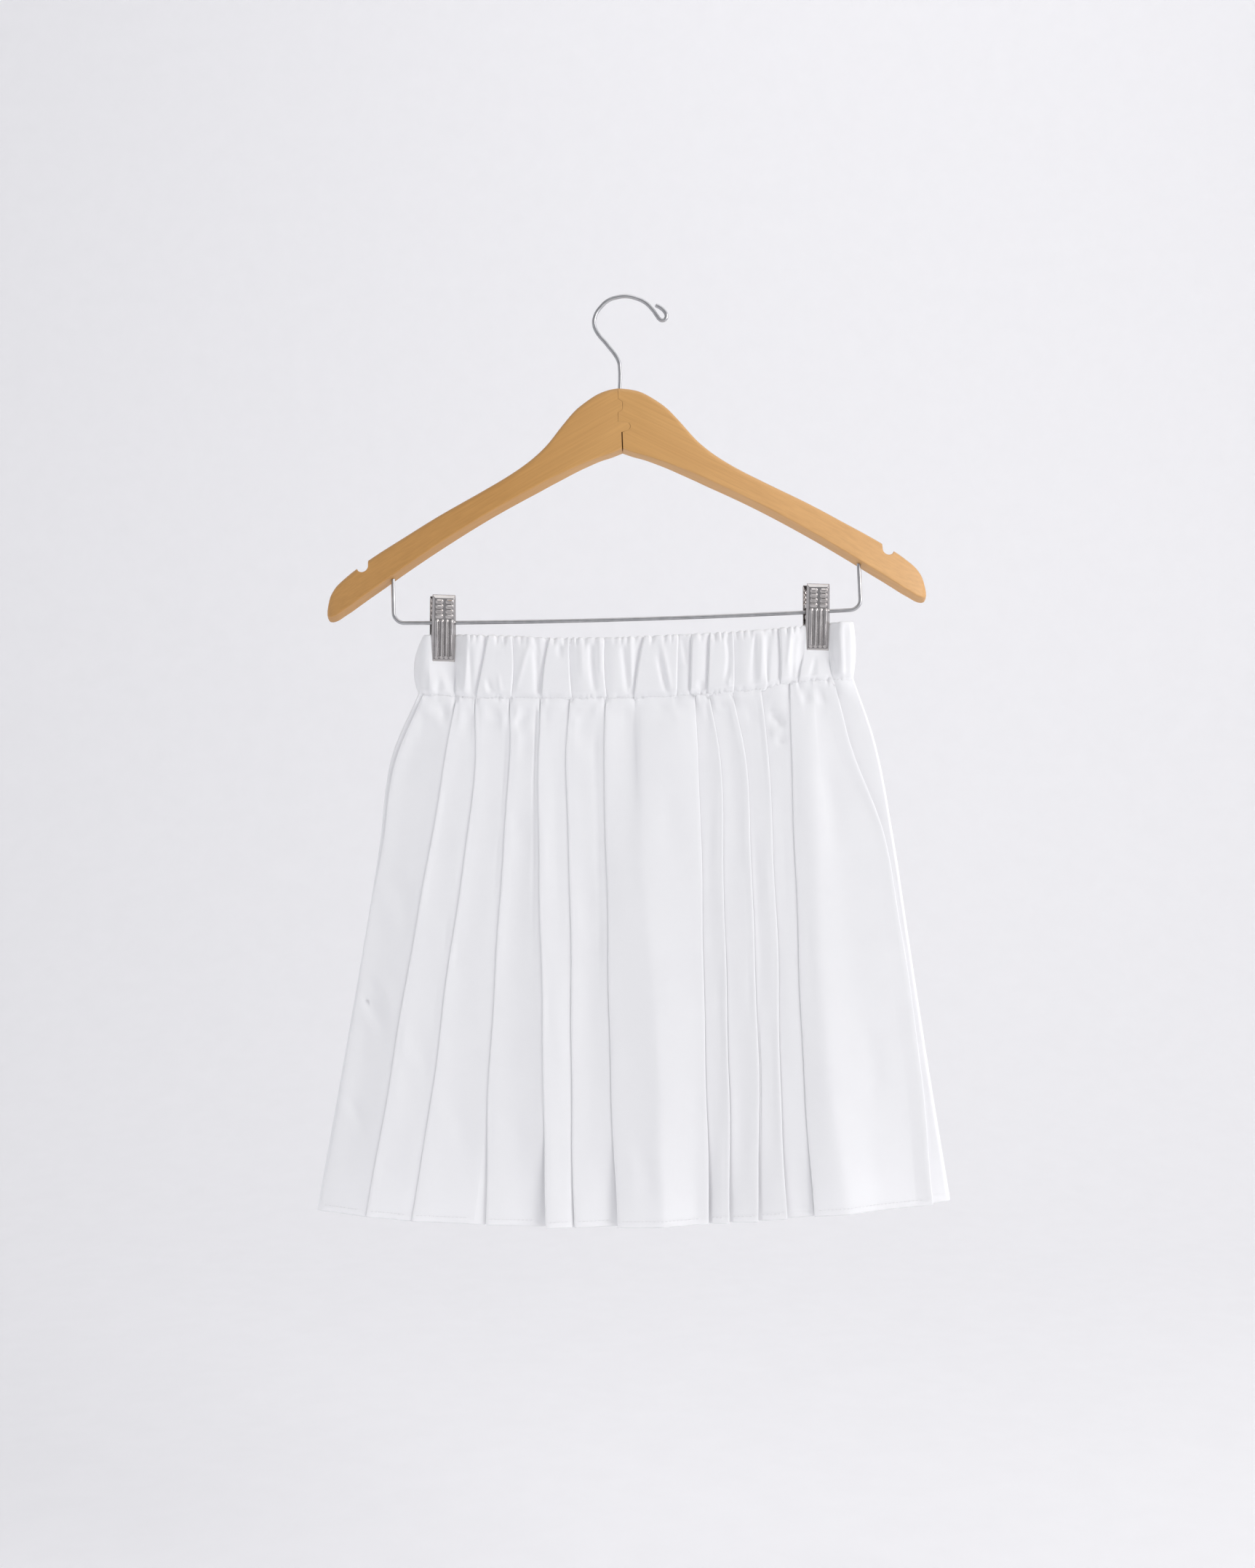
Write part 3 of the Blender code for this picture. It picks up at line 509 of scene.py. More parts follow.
# Relief of a plate: its upright ribs and the rows of short pills above them
RIB_COUNT = 4
RIB_PITCH = 3.6
RIB_SPAN = (-19.6, -45.6)
RIB_HALF = 1.45
PILL_ROWS = (-4.9, -8.5, -12.1, -15.7)
PILL_PLACES = (-3.75, 3.75)
PILL_LONG = 2.9
PILL_HALF = 1.5
RELIEF = 1.1

# Ear of a clip: thickness, half its height and radius of its hole; its reach forwards, how far it enters
# the plate behind it, how far it lies inside the plate's edge and the points around it
EAR = (1.0, 5.6, 2.9)
EAR_FRONT = 4.6
EAR_INTO_PLATE = 0.3
EAR_INSET = 0.3
EAR_POINTS = 32

# Spring: radius, wire radius, turns and length; points of a turn, and its legs' distance in front and
# behind as shares of the radius and their height
SPRING = (3.2, 0.45, 6, 9.0)
SPRING_POINTS = 16
SPRING_LEGS = (1.3, 1.05)
SPRING_LEG_TOP = 9.5

# Stitching: thread radius, length of a stitch and its pitch, place of the first one, heights of a stitch's
# ends and of its arch over the cloth, rings and points of a stitch, heights of the rows over the stitch
# line and over the hem, and the narrowest stretch of the hem that is stitched
THREAD = 0.19
STITCH_LONG = 2.1
STITCH_PITCH = 2.9
STITCH_FIRST = 0.6
STITCH_ENDS = 0.22
STITCH_ARCH = 0.28
STITCH_RINGS = 5
STITCH_SIDES = 6
CASING_STITCH_UP = 0.5
HEM_STITCH_UP = 4.4
HEM_NARROWEST = 4


def mix(a, b, share):
    return a + (b - a) * share


def smooth(share):
    share = np.clip(share, 0.0, 1.0)
    return share * share * (3 - 2 * share)


def bell(off, width):
    """A smooth bump: 1 where off is 0, and nearly nothing two widths away."""
    return np.exp(-((off / width) ** 2))


def smooth_through(xs, values, x):
    """A smooth curve through values at xs, read at x."""
    k = 0
    while k < len(xs) - 2 and x > xs[k + 1]:
        k += 1
    slopes = [(values[j + 1] - values[j]) / (xs[j + 1] - xs[j]) for j in range(len(xs) - 1)]
    before = slopes[k] if k == 0 else (slopes[k - 1] + slopes[k]) / 2
    after = slopes[k] if k == len(slopes) - 1 else (slopes[k] + slopes[k + 1]) / 2
    span = xs[k + 1] - xs[k]
    t = (x - xs[k]) / span
    start = (1 + 2 * t) * (1 - t) ** 2 * values[k] + t * (1 - t) ** 2 * span * before
    return start + t * t * (3 - 2 * t) * values[k + 1] - t * t * (1 - t) * span * after


def at_levels(values, level):
    """A smooth curve through values, which are given at LEVELS, read at level."""
    return smooth_through(LEVELS, values, level)


def on_line(points, x):
    """The height at x of a line through (X, Z) points."""
    xs, heights = zip(*points)
    return np.interp(x, xs, heights)


def directions(degrees):
    """Cosine and sine of each of these angles."""
    return [(math.cos(math.radians(angle)), math.sin(math.radians(angle))) for angle in degrees]


def distances(points):
    """How far along a line each of its points lies."""
    steps = np.linalg.norm(np.diff(points, axis=0), axis=1)
    return np.concatenate([[0.0], np.cumsum(steps)])


def point_at(where, along, points):
    """The point at a place of a line, given for each of its points how far along it lies."""
    return np.array([np.interp(where, along, points[:, axis]) for axis in range(3)])


def deep(x, level, half):
    """Distance of the innermost layer from the middle plane: nearly flat at the waist, rounded at the hem."""
    side = mix(*DEEP_SIDE, level)
    middle = mix(*DEEP_MIDDLE, level)
    return side + (middle - side) * math.sqrt(max(0.0, 1 - (x / half) ** 2))


def base_at(level):
    """The innermost layer's distance from the middle plane at one level, as a function of x."""
    left = at_levels(SIDE_LEFT, level)
    right = at_levels(SIDE_RIGHT, level)
    centre = (left + right) / 2
    return lambda x: deep(x - centre, level, (right - left) / 2)


# Turns of a panel. A stop is (points, rounding, whether the cloth after it shows).


def arc(x, n, radius, side, turn):
    """A tight turn of the cloth with its tip at x, as (x, n) points."""
    points = []
    for k in range(ARC_STEPS + 1):
        angle = math.pi * (k / ARC_STEPS - 0.5)
        points.append((x + side * radius * (math.cos(angle) - 1), n + turn * radius * math.sin(angle)))
    return points


def wobble(name, level):
    """Small unevenness of a fold's line, different for each fold."""
    seed = sum(ord(letter) for letter in name)
    fade = float(smooth(level / 0.1))
    return fade * (0.5 * math.sin(9.1 * level + seed) + 0.3 * math.sin(23.0 * level + 1.7 * seed))


def panel_stops(folds, level, base):
    """The turns that one panel makes at one level, from its left to its right."""
    gathered = float(smooth(level / GATHER_DEPTH))
    radius = mix(RADIUS_GATHERED, mix(RADIUS_HIGH, FOLD_RADIUS, level), gathered)
    near_hem = float(smooth((level - TUCK_FROM) / (1 - TUCK_FROM)))
    xs = [at_levels(fold.xs, level) + wobble(fold.name, level) for fold in folds]
    stops = []
    for k, fold in enumerate(folds):
        x = xs[k]
        full = float(np.interp(level, LIFT_LEVELS, fold.lift))
        if fold.kind == "soft":
            lift = mix(min(LIFT_GATHERED, fold.lift[0]), full, gathered)
            stops.append(([(x, base(x) + lift)], fold.round, True))
            continue
        side = 1 if fold.kind == "left" else -1
        reach = mix(*fold.reach, level)
        inner = x + side * reach
        lift = mix(LIFT_GATHERED, full, gathered)
        share = mix(TUCK_HIGH[fold.kind], fold.tuck, near_hem)
        tuck = mix(TUCK_GATHERED, min(share * full, full - 2 * radius - FOLD_CLOSE), gathered)
        wide = fold.clear > WIDE_GAP
        opened = max(0.0, (level - GAP_OPENS[wide]) / (1 - GAP_OPENS[wide]))
        clear = NARROWEST_GAP + fold.clear * opened
        turns = []
        if 0 <= k - side < len(folds):
            gap = x - side * clear
            turns.append(([(gap, base(gap) + tuck)], min(GAP_ROUND[wide], clear), side < 0))
            if wide:
                floor = base(x) + tuck - GAP_STEP - GAP_FLOOR * opened
                turns.append(([(x, floor)], GAP_FLOOR_ROUND, False))
        turns.append((arc(inner, base(inner) + radius, radius, side, side), 0, False))
        turns.append((arc(x, base(x) + lift - radius, radius, -side, side), 0, side > 0))
        beyond = k + side
        if 0 <= beyond < len(folds) and folds[beyond].kind == fold.kind:
            far = x + side * min(reach + SHOULDER_RUN, side * (xs[beyond] - x) - SHOULDER_CLEAR)
            shoulder = max(SHOULDER_SHARE * lift, 4 * radius + SHOULDER_OVER)
            turns.append(([(far, base(far) + shoulder)], fold.round, True))
        stops += turns[::side]
    return stops


def turn_ends(stops, k):
    """Where the cloth enters and leaves a turn. A rounded corner starts before its point and ends past it."""
    turn, rounding, _ = stops[k]
    if len(turn) > 1 or k in (0, len(stops) - 1):
        return turn[0], turn[-1]
    here = Vector(turn[0])
    ends = []
    for beside in (stops[k - 1][0][-1], stops[k + 1][0][0]):
        along = Vector(beside) - here
        ends.append(tuple(here + along.normalized() * min(rounding, 0.45 * along.length)))
    return ends


def trace(stops, counts):
    """Points along the stops, counts[k] steps from stop k to the next, whether each shows and how much."""
    points, shown, weights = [], [], []

    def put(place, seen, weight):
        points.append(place)
        shown.append(seen)
        weights.append(float(weight))

    ends = [turn_ends(stops, k) for k in range(len(stops))]
    was_seen = False
    for k, (turn, _, seen) in enumerate(stops):
        enter, leave = ends[k]
        if len(turn) > 1:
            for step, place in enumerate(turn):
                share = step / (len(turn) - 1)
                put(place, False, mix(was_seen, seen, share) if seen != was_seen else 0)
        elif k in (0, len(stops) - 1):
            put(turn[0], seen or was_seen, seen or was_seen)
        else:
            for step in range(CORNER_STEPS + 1):
                t = step / CORNER_STEPS
                place = [(1 - t) ** 2 * start + 2 * t * (1 - t) * middle + t * t * end
                         for start, middle, end in zip(enter, turn[0], leave)]
                put(place, seen and was_seen, seen and was_seen)
        if k + 1 < len(stops):
            for step in range(1, counts[k]):
                share = step / counts[k]
                put([mix(start, end, share) for start, end in zip(leave, ends[k + 1][0])], seen, seen)
        was_seen = seen
    return points, shown, weights


def step_counts(stops):
    """How many steps lie between each stop and the next one, more where the cloth shows."""
    counts = []
    for (turn, _, seen), (following, _, _) in zip(stops, stops[1:]):
        gap = (Vector(following[0]) - Vector(turn[-1])).length
        counts.append(max(1, round(gap / (POINT_SPACING if seen else HIDDEN_SPACING))))
    return counts


def back_folds():
    """The back's pleats, right to left as the front sees them: knife pleats beside a box pleat."""
    folds = []
    for side in (-1, 1):
        kind = "left" if side < 0 else "right"
        for k in range(BACK_PLEATS):
            places = []
            for level in LEVELS:
                uneven = mix(*BACK_UNEVEN, level) * math.sin(2.4 * k + side + 0.6 * level)
                out = mix(*BACK_FIRST, level) + k * mix(*BACK_PITCH, level) + uneven
                places.append(-mix(*BACK_CENTRE, level) + side * out)
            lift = (4.3, 5.4, 7.4 + 1.0 * math.sin(1.9 * k + side))
            tuck = 0.42 + 0.14 * math.sin(2.7 * k + side)
            folds.append(Fold(f"back_{side}_{k}", kind, tuple(places), BACK_REACH, lift, tuck, 1.4, 6))
    return sorted(folds, key=lambda fold: fold.xs[0])


BACK_FOLDS = back_folds()


def seams(level):
    """X of the left and the right seam, hidden under the front's first and last fold."""
    inset = mix(*SEAM_INSET, level)
    return at_levels(FRONT_FOLDS[0].xs, level) + inset, at_levels(FRONT_FOLDS[-1].xs, level) - inset


def front_stops(level):
    base = base_at(level)
    left, right = seams(level)
    stops = [([(left + SEAM_GAP / 2, base(left))], 0, False)]
    stops += panel_stops(FRONT_FOLDS, level, base)
    stops.append(([(right - SEAM_GAP / 2, base(right))], 0, False))
    return stops


def side_turn(tip, depth, side):
    """The cloth turning round one side of the skirt, from n = depth on one face to -depth on the other."""
    flat = side * TURN_SHAPE * depth
    return [(tip + flat * (cos - 1), depth * sin) for cos, sin in directions(range(90, -91, -15))]


def back_stops(level):
    base = base_at(level)
    left, right = seams(level)
    depth = mix(*DEEP_SIDE, level)
    right_turn = side_turn(at_levels(SIDE_RIGHT, level) - TURN_INSET, depth, 1)
    left_turn = side_turn(at_levels(SIDE_LEFT, level) + TURN_INSET, depth, -1)
    stops = [([(right + SEAM_GAP / 2, base(right))], 0, False)]
    stops.append(([(right + SEAM_RUN, base(right + SEAM_RUN))], 0.5, True))
    stops.append((right_turn, 0, True))
    for turn, rounding, seen in panel_stops(BACK_FOLDS, level, lambda t: base(-t)):
        stops.append(([(-t, -n) for t, n in turn], rounding, seen))
    stops.append((left_turn[::-1], 0, True))
    stops.append(([(left - SEAM_RUN, base(left - SEAM_RUN))], 0.5, False))
    stops.append(([(left - SEAM_GAP / 2, base(left))], 0, False))
    return stops


def row_levels(counts):
    levels = []
    for start, end, count in zip(ROW_ENDS, ROW_ENDS[1:], counts):
        levels += list(np.linspace(start, end, count, endpoint=False))
    return np.array(levels + [1.0])


def panel_runs(shown):
    """First and last column of each stretch of cloth that shows between two folds."""
    runs, start = [], None
    for k, seen in enumerate(list(shown) + [False]):
        if seen and start is None:
            start = k
        elif not seen and start is not None:
            runs.append((start, k - 1))
            start = None
    return runs


def crease_depth(creases, x, z):
    """How far the creases press the cloth in at x and z, which are arrays."""
    pressed = np.zeros_like(x)
    for crease in creases:
        along = np.array([crease.x1 - crease.x0, crease.z1 - crease.z0])
        length = float(np.hypot(*along))
        along = along / length
        run = (x - crease.x0) * along[0] + (z - crease.z0) * along[1]
        off = (x - crease.x0) * along[1] - (z - crease.z0) * along[0]
        off = off + CREASE_BOW * length * np.sin(np.pi * np.clip(run / length, 0, 1))
        starts = smooth(run / (CREASE_STARTS[0] * length) + CREASE_STARTS[1])
        ends = smooth((length - run) / (CREASE_ENDS[0] * length) + CREASE_ENDS[1])
        lip = CREASE_LIP[0] * bell(off / crease.width - CREASE_LIP[1], 1)
        pressed += crease.depth * starts * ends * (bell(off, crease.width) - lip)
    return pressed


def panel_waves(panel, share, x, z, down):
    """Soft unevenness of a panel, and its gathers, which fade at a distance down from the stitch line."""
    long_wave = 0.3 * np.sin(z / 41.0 + 2.1 * panel) * np.sin(np.pi * (1.1 * share + 0.4 * panel))
    short_wave = 0.07 * np.sin(z / 12.0 + x / 15.0 + 1.3 * panel) * np.sin(2.3 * np.pi * share + panel)
    fine_gathers = 0.66 * np.sin(x / 1.4 + 0.9 * panel)
    wide_gathers = 0.5 * np.sin(x / 2.3 + 2.0 * panel + down / 14.0)
    return long_wave + short_wave + np.exp(-np.maximum(down, 0) / 12.0) * (fine_gathers + wide_gathers)


def sewn_depth(x):
    """Distance of the stitch line from the middle plane, where casing and skirt are drawn together."""
    base = base_at(0.0)
    inside = np.clip(x, SIDE_LEFT[0] + TURN_INSET, SIDE_RIGHT[0] - TURN_INSET)
    return np.vectorize(base)(inside) + SEWN_LIFT


def sewn_valley(x, away, under, shift=0.0):
    """How far the cloth stands out, away millimetres from the stitch line. Past that line it sinks."""
    puff = PUFF * (1 - bell(away, PUFF_RUN))
    puckers = PUCKER * pucker(x + shift) * bell(away, PUCKER_TALL)
    return sewn_depth(x) + puff - UNDER_DEEP * smooth(-away / under) - puckers


def stitch_height(x):
    """Height of the stitch line, which runs a little unevenly."""
    return on_line(STITCH, x) - 0.2 + 0.4 * np.sin(x / 2.6 + 1.3 * np.sin(x / 8.1)) * np.sin(x / 19.0)


def pucker(x):
    """Small uneven puckers along a line of stitches, from 0 to 1."""
    wave = (0.5 + 0.5 * np.sin(x / 0.83 + 1.9 * np.sin(x / 5.1) + 1.1 * np.sin(x / 2.2))) ** 2
    return wave * (0.45 + 0.55 * np.sin(x / 7.7 + 1.5 * np.sin(x / 17.0))) ** 2


def fold_notch(x):
    """How far the stitch line is drawn in where a deep fold of the front's casing runs into a pleat."""
    drawn = np.zeros_like(x)
    for gather in FRONT_GATHERS:
        if gather.lean or gather.start <= 0 < gather.depth:
            depth, width = NOTCH_OVERLAP if gather.lean else NOTCH_SOFT
            drawn += depth * bell(x - gather.low, width)
    return drawn


def panel_dip(panel, share, levels):
    """The dip of a panel beside a left fold, in each of its rows and columns."""
    start, end = VALLEY_FADES
    fade = smooth(levels / VALLEY_SETS_IN) * (1 - smooth((levels - start) / (end - start)))
    dip = VALLEYS[panel % len(VALLEYS)] * bell(share - VALLEY_PLACE, VALLEY_WIDE)
    return dip * fade[:, None]


def cloth_rows(stops_at, row_counts, hem, creases, middle_y):
    """(rows, columns, 3) points of a panel, from its top to its hem, and which of its columns show."""
    levels = row_levels(row_counts)
    counts = step_counts(stops_at(1.0))
    lines = [trace(stops_at(max(0.0, level)), counts) for level in levels]
    grid = np.array([points for points, _, _ in lines])
    _, shown, weights = (np.array(values) for values in lines[-1])
    x, n = grid[..., 0], grid[..., 1]
    stitch = stitch_height(x[0])
    low = on_line(hem, x[-1])
    z = stitch + (low - stitch) * levels[:, None]
    down = stitch - z
    side = np.where(n >= 0, 1.0, -1.0)
    for panel, (start, end) in enumerate(panel_runs(shown)):
        columns = slice(start, end + 1)
        share = distances(grid[-1, columns])
        share = share / share[-1]
        relief = panel_waves(panel, share, x[:, columns], z[:, columns], down[:, columns])
        relief -= crease_depth(creases, x[:, columns], z[:, columns])
        if x[-1, min(end + 2 * ARC_STEPS, len(shown) - 1)] > x[-1, end]:
            relief -= panel_dip(panel, share, levels)
        window = smooth(share / PANEL_EDGE) * smooth((1 - share) / PANEL_EDGE)
        n[:, columns] += side[:, columns] * window * relief
    lip = sewn_valley(x, down, UNDER_SKIRT, 0.5) - fold_notch(x) * bell(down, FOLD_NOTCH_TALL)
    drawn = weights * smooth(np.abs(n[0]) / TURN_FREE - 1) * (1 - smooth(down / PUFF_ENDS))
    n += side * drawn * (lip - np.abs(n))
    y = middle_y - (n + side * hem_relief(z - low) * shown)
    return np.stack([x, y, z], axis=-1), shown


def hem_relief(above):
    """The narrow turned-up hem: a little thicker under its row of stitches, with a groove along them."""
    thicker = HEM_THICKER[0] * smooth((HEM_STITCH_UP - above) / HEM_THICKER[1])
    return thicker - HEM_GROOVE[0] * bell(above - HEM_STITCH_UP, HEM_GROOVE[1])


# Casing


def pinch(x, middle_y):
    """(how firmly the clips press the casing at x, how far they shift it backwards there)."""
    half = PLATE[0] / 2
    for clip_x, yaw in zip(CLIP_PLACES, CLIP_YAWS):
        off = x - clip_x
        if abs(off) < 2 * PINCH_WIDTH:
            share = 1 - float(smooth((abs(off) - half - PINCH_PAST) / PINCH_WIDTH))
            turned = float(np.clip(off, -half, half)) * math.tan(yaw)
            return share, (bar_place(clip_x).y - middle_y + turned) * share
    return 0.0, 0.0


def bent(low, mid, top, share):
    """From low to top through mid, which lies half way."""
    return mix(low, top, share) + 4 * share * (1 - share) * (mid - (top + low) / 2)


def casing_relief(gathers, x, height):
    """(how far the gathers press the casing in, how far they draw it sideways) at arrays x and height."""
    pressed = np.zeros_like(x)
    drawn = np.zeros_like(x)
    for gather in gathers:
        off = x - bent(gather.low, gather.mid, gather.top, height)
        taper = smooth((height - gather.start) / GATHER_TAPER) * smooth((gather.end - height) / GATHER_TAPER)
        width = gather.width * (1 + GATHER_FLARE * gather.flare * (2 * height - 1))
        if gather.lean:
            steep = off * gather.lean > 0
            slope, power = (np.where(steep, one, two) for one, two in zip(OVERLAP_STEEP, OVERLAP_GENTLE))
            pressed += gather.depth * taper * np.exp(-((np.abs(off) / (slope * width)) ** power))
            beside = bell(off / width - gather.lean * OVERLAP_PLACE[0], OVERLAP_PLACE[1])
            drawn -= gather.lean * OVERLAP_DRAW * width * taper * beside
        else:
            pressed += SOFT_SHARE * gather.depth * taper * bell(off, width)
    return pressed, drawn


def back_gathers():
    """Uneven gathers along the casing's back, as on its front."""
    gathers = []
    x, k = -149.0, 0
    while x < 163:
        lean = (1, 0, 0, -1, 0, 1, 0, 1, 0)[k % 9]
        sway = 2.6 * math.sin(1.7 * k)
        if lean:
            gathers.append(Gather(x + sway, x - 0.4 * sway, x - sway, -0.2, 1.1, 1.05, 2.7, lean))
        else:
            start, end = ((-0.2, 0.5), (0, 0.95), (0.35, 1.1), (-0.1, 0.85))[k % 4]
            depth = -0.9 if k % 5 == 3 else 1.7
            gathers.append(Gather(x + 2 * sway, x, x - sway, start, end, 1.9, depth, 0, k % 3 - 1))
        x += 5.6 + 1.7 * math.sin(2.3 * k + 0.7)
        k += 1
    return gathers


def frill_notch(x):
    """The small uneven tucks along the casing's top edge, from 0 to 1."""
    wave = 0.5 + 0.5 * np.sin(x / 0.98 + 1.5 * np.sin(x / 6.3) + 0.8 * np.sin(x / 2.9 + 1.0))
    return wave**2 * (0.7 + 0.3 * np.sin(x / 9.0))


def casing_columns(gathers):
    """X of each of the casing's columns on the stitch line, half way up and at the top edge."""
    first = CASING_LEFT[0] + CASING_END
    last = CASING_RIGHT[0] - CASING_END
    low = np.linspace(first, last, round((last - first) / CASING_SPACING))
    guides = sorted((gather.low, gather.mid, gather.top) for gather in gathers if gather.lean)
    guides = [(first - COLUMNS_PAST_END,) * 3, *guides, (last + COLUMNS_PAST_END,) * 3]
    lows, mids, tops = np.maximum.accumulate(guides).T
    return low, np.interp(low, lows, mids), np.interp(low, lows, tops)


def casing_face(gathers, columns, press, over, tall, inner):
    """(x, n) of one row of the casing, over millimetres above the stitch line."""
    height = np.clip(over / tall, 0, 1)
    x = bent(*columns, height)
    grip = press * smooth(GRIP_RISE[0] + GRIP_RISE[1] * height)
    outer = mix(*CASING_HALF, height) + CASING_BELLY * np.sin(np.pi * height)
    outer = mix(outer, PINCH_HALF + CASING_WALL, grip)
    lining = mix(mix(*CASING_INNER, height), CASING_WALL, grip)
    relief, drawn = casing_relief(gathers, x, height)
    relief = relief + FRILL_DEEP * frill_notch(x) * smooth((height - FRILL_FROM) / 0.1)
    kept = 1 - PINCH_FLATTENS * grip**3
    relief = relief * kept * mix(RELIEF_LOW, 1, smooth(over / RELIEF_RUN))
    limit = outer - lining - CASING_WALL
    relief = limit * np.tanh(relief / limit)
    groove = sewn_valley(x, over, CASING_UNDER) - fold_notch(x)
    if inner:
        low = np.minimum(groove - LINING_BEHIND, lining)
        return x, mix(low, lining, smooth(over / LINING_SETTLES)) - LINING_RELIEF * relief
    start, run = OUTER_SETTLES
    return x + drawn * kept, mix(groove, outer - relief, smooth((over - start) / run))


def casing_grid(gathers, sign, middle_y):
    """(rows, columns, 3) points: up the outer face from its stitches, over the top, down the inner face."""
    columns = casing_columns(gathers)
    low, mid, top = columns
    press, turn = np.array([pinch(x, middle_y) for x in mid]).T
    bottom = stitch_height(low)
    crest = on_line(CASING_TOP, top) - FRILL_CUT * frill_notch(top)
    if sign > 0:
        crest += back_rise(top)
    tall = crest - bottom
    rows = []

    def face_row(share, over, inner):
        x, n = casing_face(gathers, columns, press, over, tall, inner)
        rows.append((x, n, bottom + over, turn * smooth(SHIFT_RISE[0] + SHIFT_RISE[1] * share)))

    for share in np.linspace(0, 1, CASING_ROWS) ** CASING_CROWDING:
        face_row(share, share * (tall * TOP_TURN + CASING_UNDER) - CASING_UNDER, False)
    outer_x, outer_n, turn_z, shift = rows[-1]
    inner_x, inner_n = casing_face(gathers, columns, press, tall * TOP_TURN, tall, True)
    for k in range(1, CASING_TOP_ROWS):
        angle = math.pi * k / CASING_TOP_ROWS
        across = (1 - math.cos(angle)) / 2
        rise = tall * (1 - TOP_TURN) * math.sin(angle)
        rows.append((mix(outer_x, inner_x, across), mix(outer_n, inner_n, across), turn_z + rise, shift))
    for share in np.linspace(TOP_TURN, 0.02, CASING_INNER_ROWS):
        face_row(share, share * tall, True)
    grid = np.array([np.stack([x, middle_y + sign * n + shift, z], axis=-1) for x, n, z, shift in rows])
    left = casing_end(grid[:, 0], -1, CASING_LEFT, gathers, middle_y)
    right = casing_end(grid[:, -1], 1, CASING_RIGHT, gathers, middle_y)
    return np.concatenate([np.stack(left[::-1], axis=1), grid, np.stack(right, axis=1)], axis=1)


def casing_end(edge, side, tips, gathers, middle_y):
    """Columns that round off one end of the casing, from its last full column to the skirt's side."""
    x, y, z = edge.T
    share = np.clip((z - z.min()) / (z.max() - z.min()), 0, 1)
    length = np.abs(bent(*tips, share) - x) - 0.4
    offset = y - middle_y
    columns = []
    for cos, sin in directions(END_ANGLES):
        across = x + side * length * cos
        relief, _ = casing_relief(gathers, across, share)
        relief[CASING_ROWS:] = 0
        relief = np.clip(relief, -1.0, 1.8) * (0.4 + 0.6 * smooth(share / 0.2))
        shrink = 1 - relief * sin / np.maximum(np.abs(offset), 3.0)
        y = middle_y + offset * max(0.04, sin) * shrink
        columns.append(np.stack([across - side * relief * cos, y, z], axis=-1))
    return columns


def back_rise(x):
    """The back's top edge stands a little above the front's left of the middle and at the right end."""
    return 1.5 * bell(x + 88, 34) + 0.8 * bell(x - 160, 12)


# Meshes


def new_object(name, data, look, matrix=None):
    """A mesh or a curve as an object of the scene."""
    data.materials.append(look)
    if matrix is not None:
        data.transform(matrix)
    made = bpy.data.objects.new(name, data)
    bpy.context.scene.collection.objects.link(made)
    return made


def smooth_object(name, mesh, look, matrix=None, sharp=None):
    """A smoothly shaded mesh as an object, with edges over the sharp angle kept."""
    mesh.shade_smooth()
    if sharp:
        mesh.set_sharp_from_angle(angle=math.radians(sharp))
    return new_object(name, mesh, look, matrix)


def solid_object(name, solid, look, matrix=None, sharp=None):
    """The same from a bmesh, which is used up."""
    bmesh.ops.recalc_face_normals(solid, faces=solid.faces)
    mesh = bpy.data.meshes.new(name)
    solid.to_mesh(mesh)
    solid.free()
    return smooth_object(name, mesh, look, matrix, sharp)


def new_ring(solid, points):
    return [solid.verts.new(Vector(point) * MM) for point in points]


def join_rings(solid, rings):
    """Faces from each closed ring of vertices to the next one."""
    for one, two in zip(rings, rings[1:]):
        for k in range(len(one)):
            after = (k + 1) % len(one)
            solid.faces.new((one[k], one[after], two[after], two[k]))


def grid_object(name, grid, look, thick, matrix=None, sharp=None):
    """A smooth sheet through rows of points in millimetres, thickened to a shell."""
    rows, columns = grid.shape[:2]
    index = np.arange(rows * columns).reshape(rows, columns)
    faces = np.stack([index[:-1, :-1], index[1:, :-1], index[1:, 1:], index[:-1, 1:]], axis=-1)
    mesh = bpy.data.meshes.new(name)
    mesh.from_pydata((grid.reshape(-1, 3) * MM).tolist(), [], faces.reshape(-1, 4).tolist())
    made = smooth_object(name, mesh, look, matrix, sharp)
    if thick:
        shell = made.modifiers.new("thickness", "SOLIDIFY")
        shell.thickness = thick * MM
        shell.offset = 0
    return made


def loft_object(name, rings, look, matrix):
    """A closed smooth solid through rings of points in millimetres."""
    solid = bmesh.new()
    loops = [new_ring(solid, ring) for ring in rings]
    join_rings(solid, loops)
    count = len(loops[0])
    for loop in (loops[0], loops[-1]):
        for k in range(count // 2 - 1):
            solid.faces.new((loop[k], loop[k + 1], loop[count - k - 2], loop[count - k - 1]))
    return solid_object(name, solid, look, matrix, 50)


def stitch_rings(start, along, line, outward):
    """Rings of points round one stitch, a small arched thread with its ends in the cloth."""
    rings = []
    for step in range(STITCH_RINGS):
        share = step / (STITCH_RINGS - 1)
        at = start + STITCH_LONG * share
        place = point_at(at, along, line)
        ahead = point_at(at + 0.4, along, line) - place
        ahead = ahead / max(1e-9, np.linalg.norm(ahead))
        up = outward - ahead * float(outward @ ahead)
        up = up / np.linalg.norm(up)
        cross = np.cross(ahead, up)
        arch = math.sin(math.pi * share)
        centre = place + up * (STITCH_ENDS + STITCH_ARCH * arch)
        radius = THREAD * (0.55 + 0.45 * arch)
        corners = directions(360 * corner / STITCH_SIDES for corner in range(STITCH_SIDES))
        rings.append([centre + radius * (cos * up + sin * cross) for cos, sin in corners])
    return rings


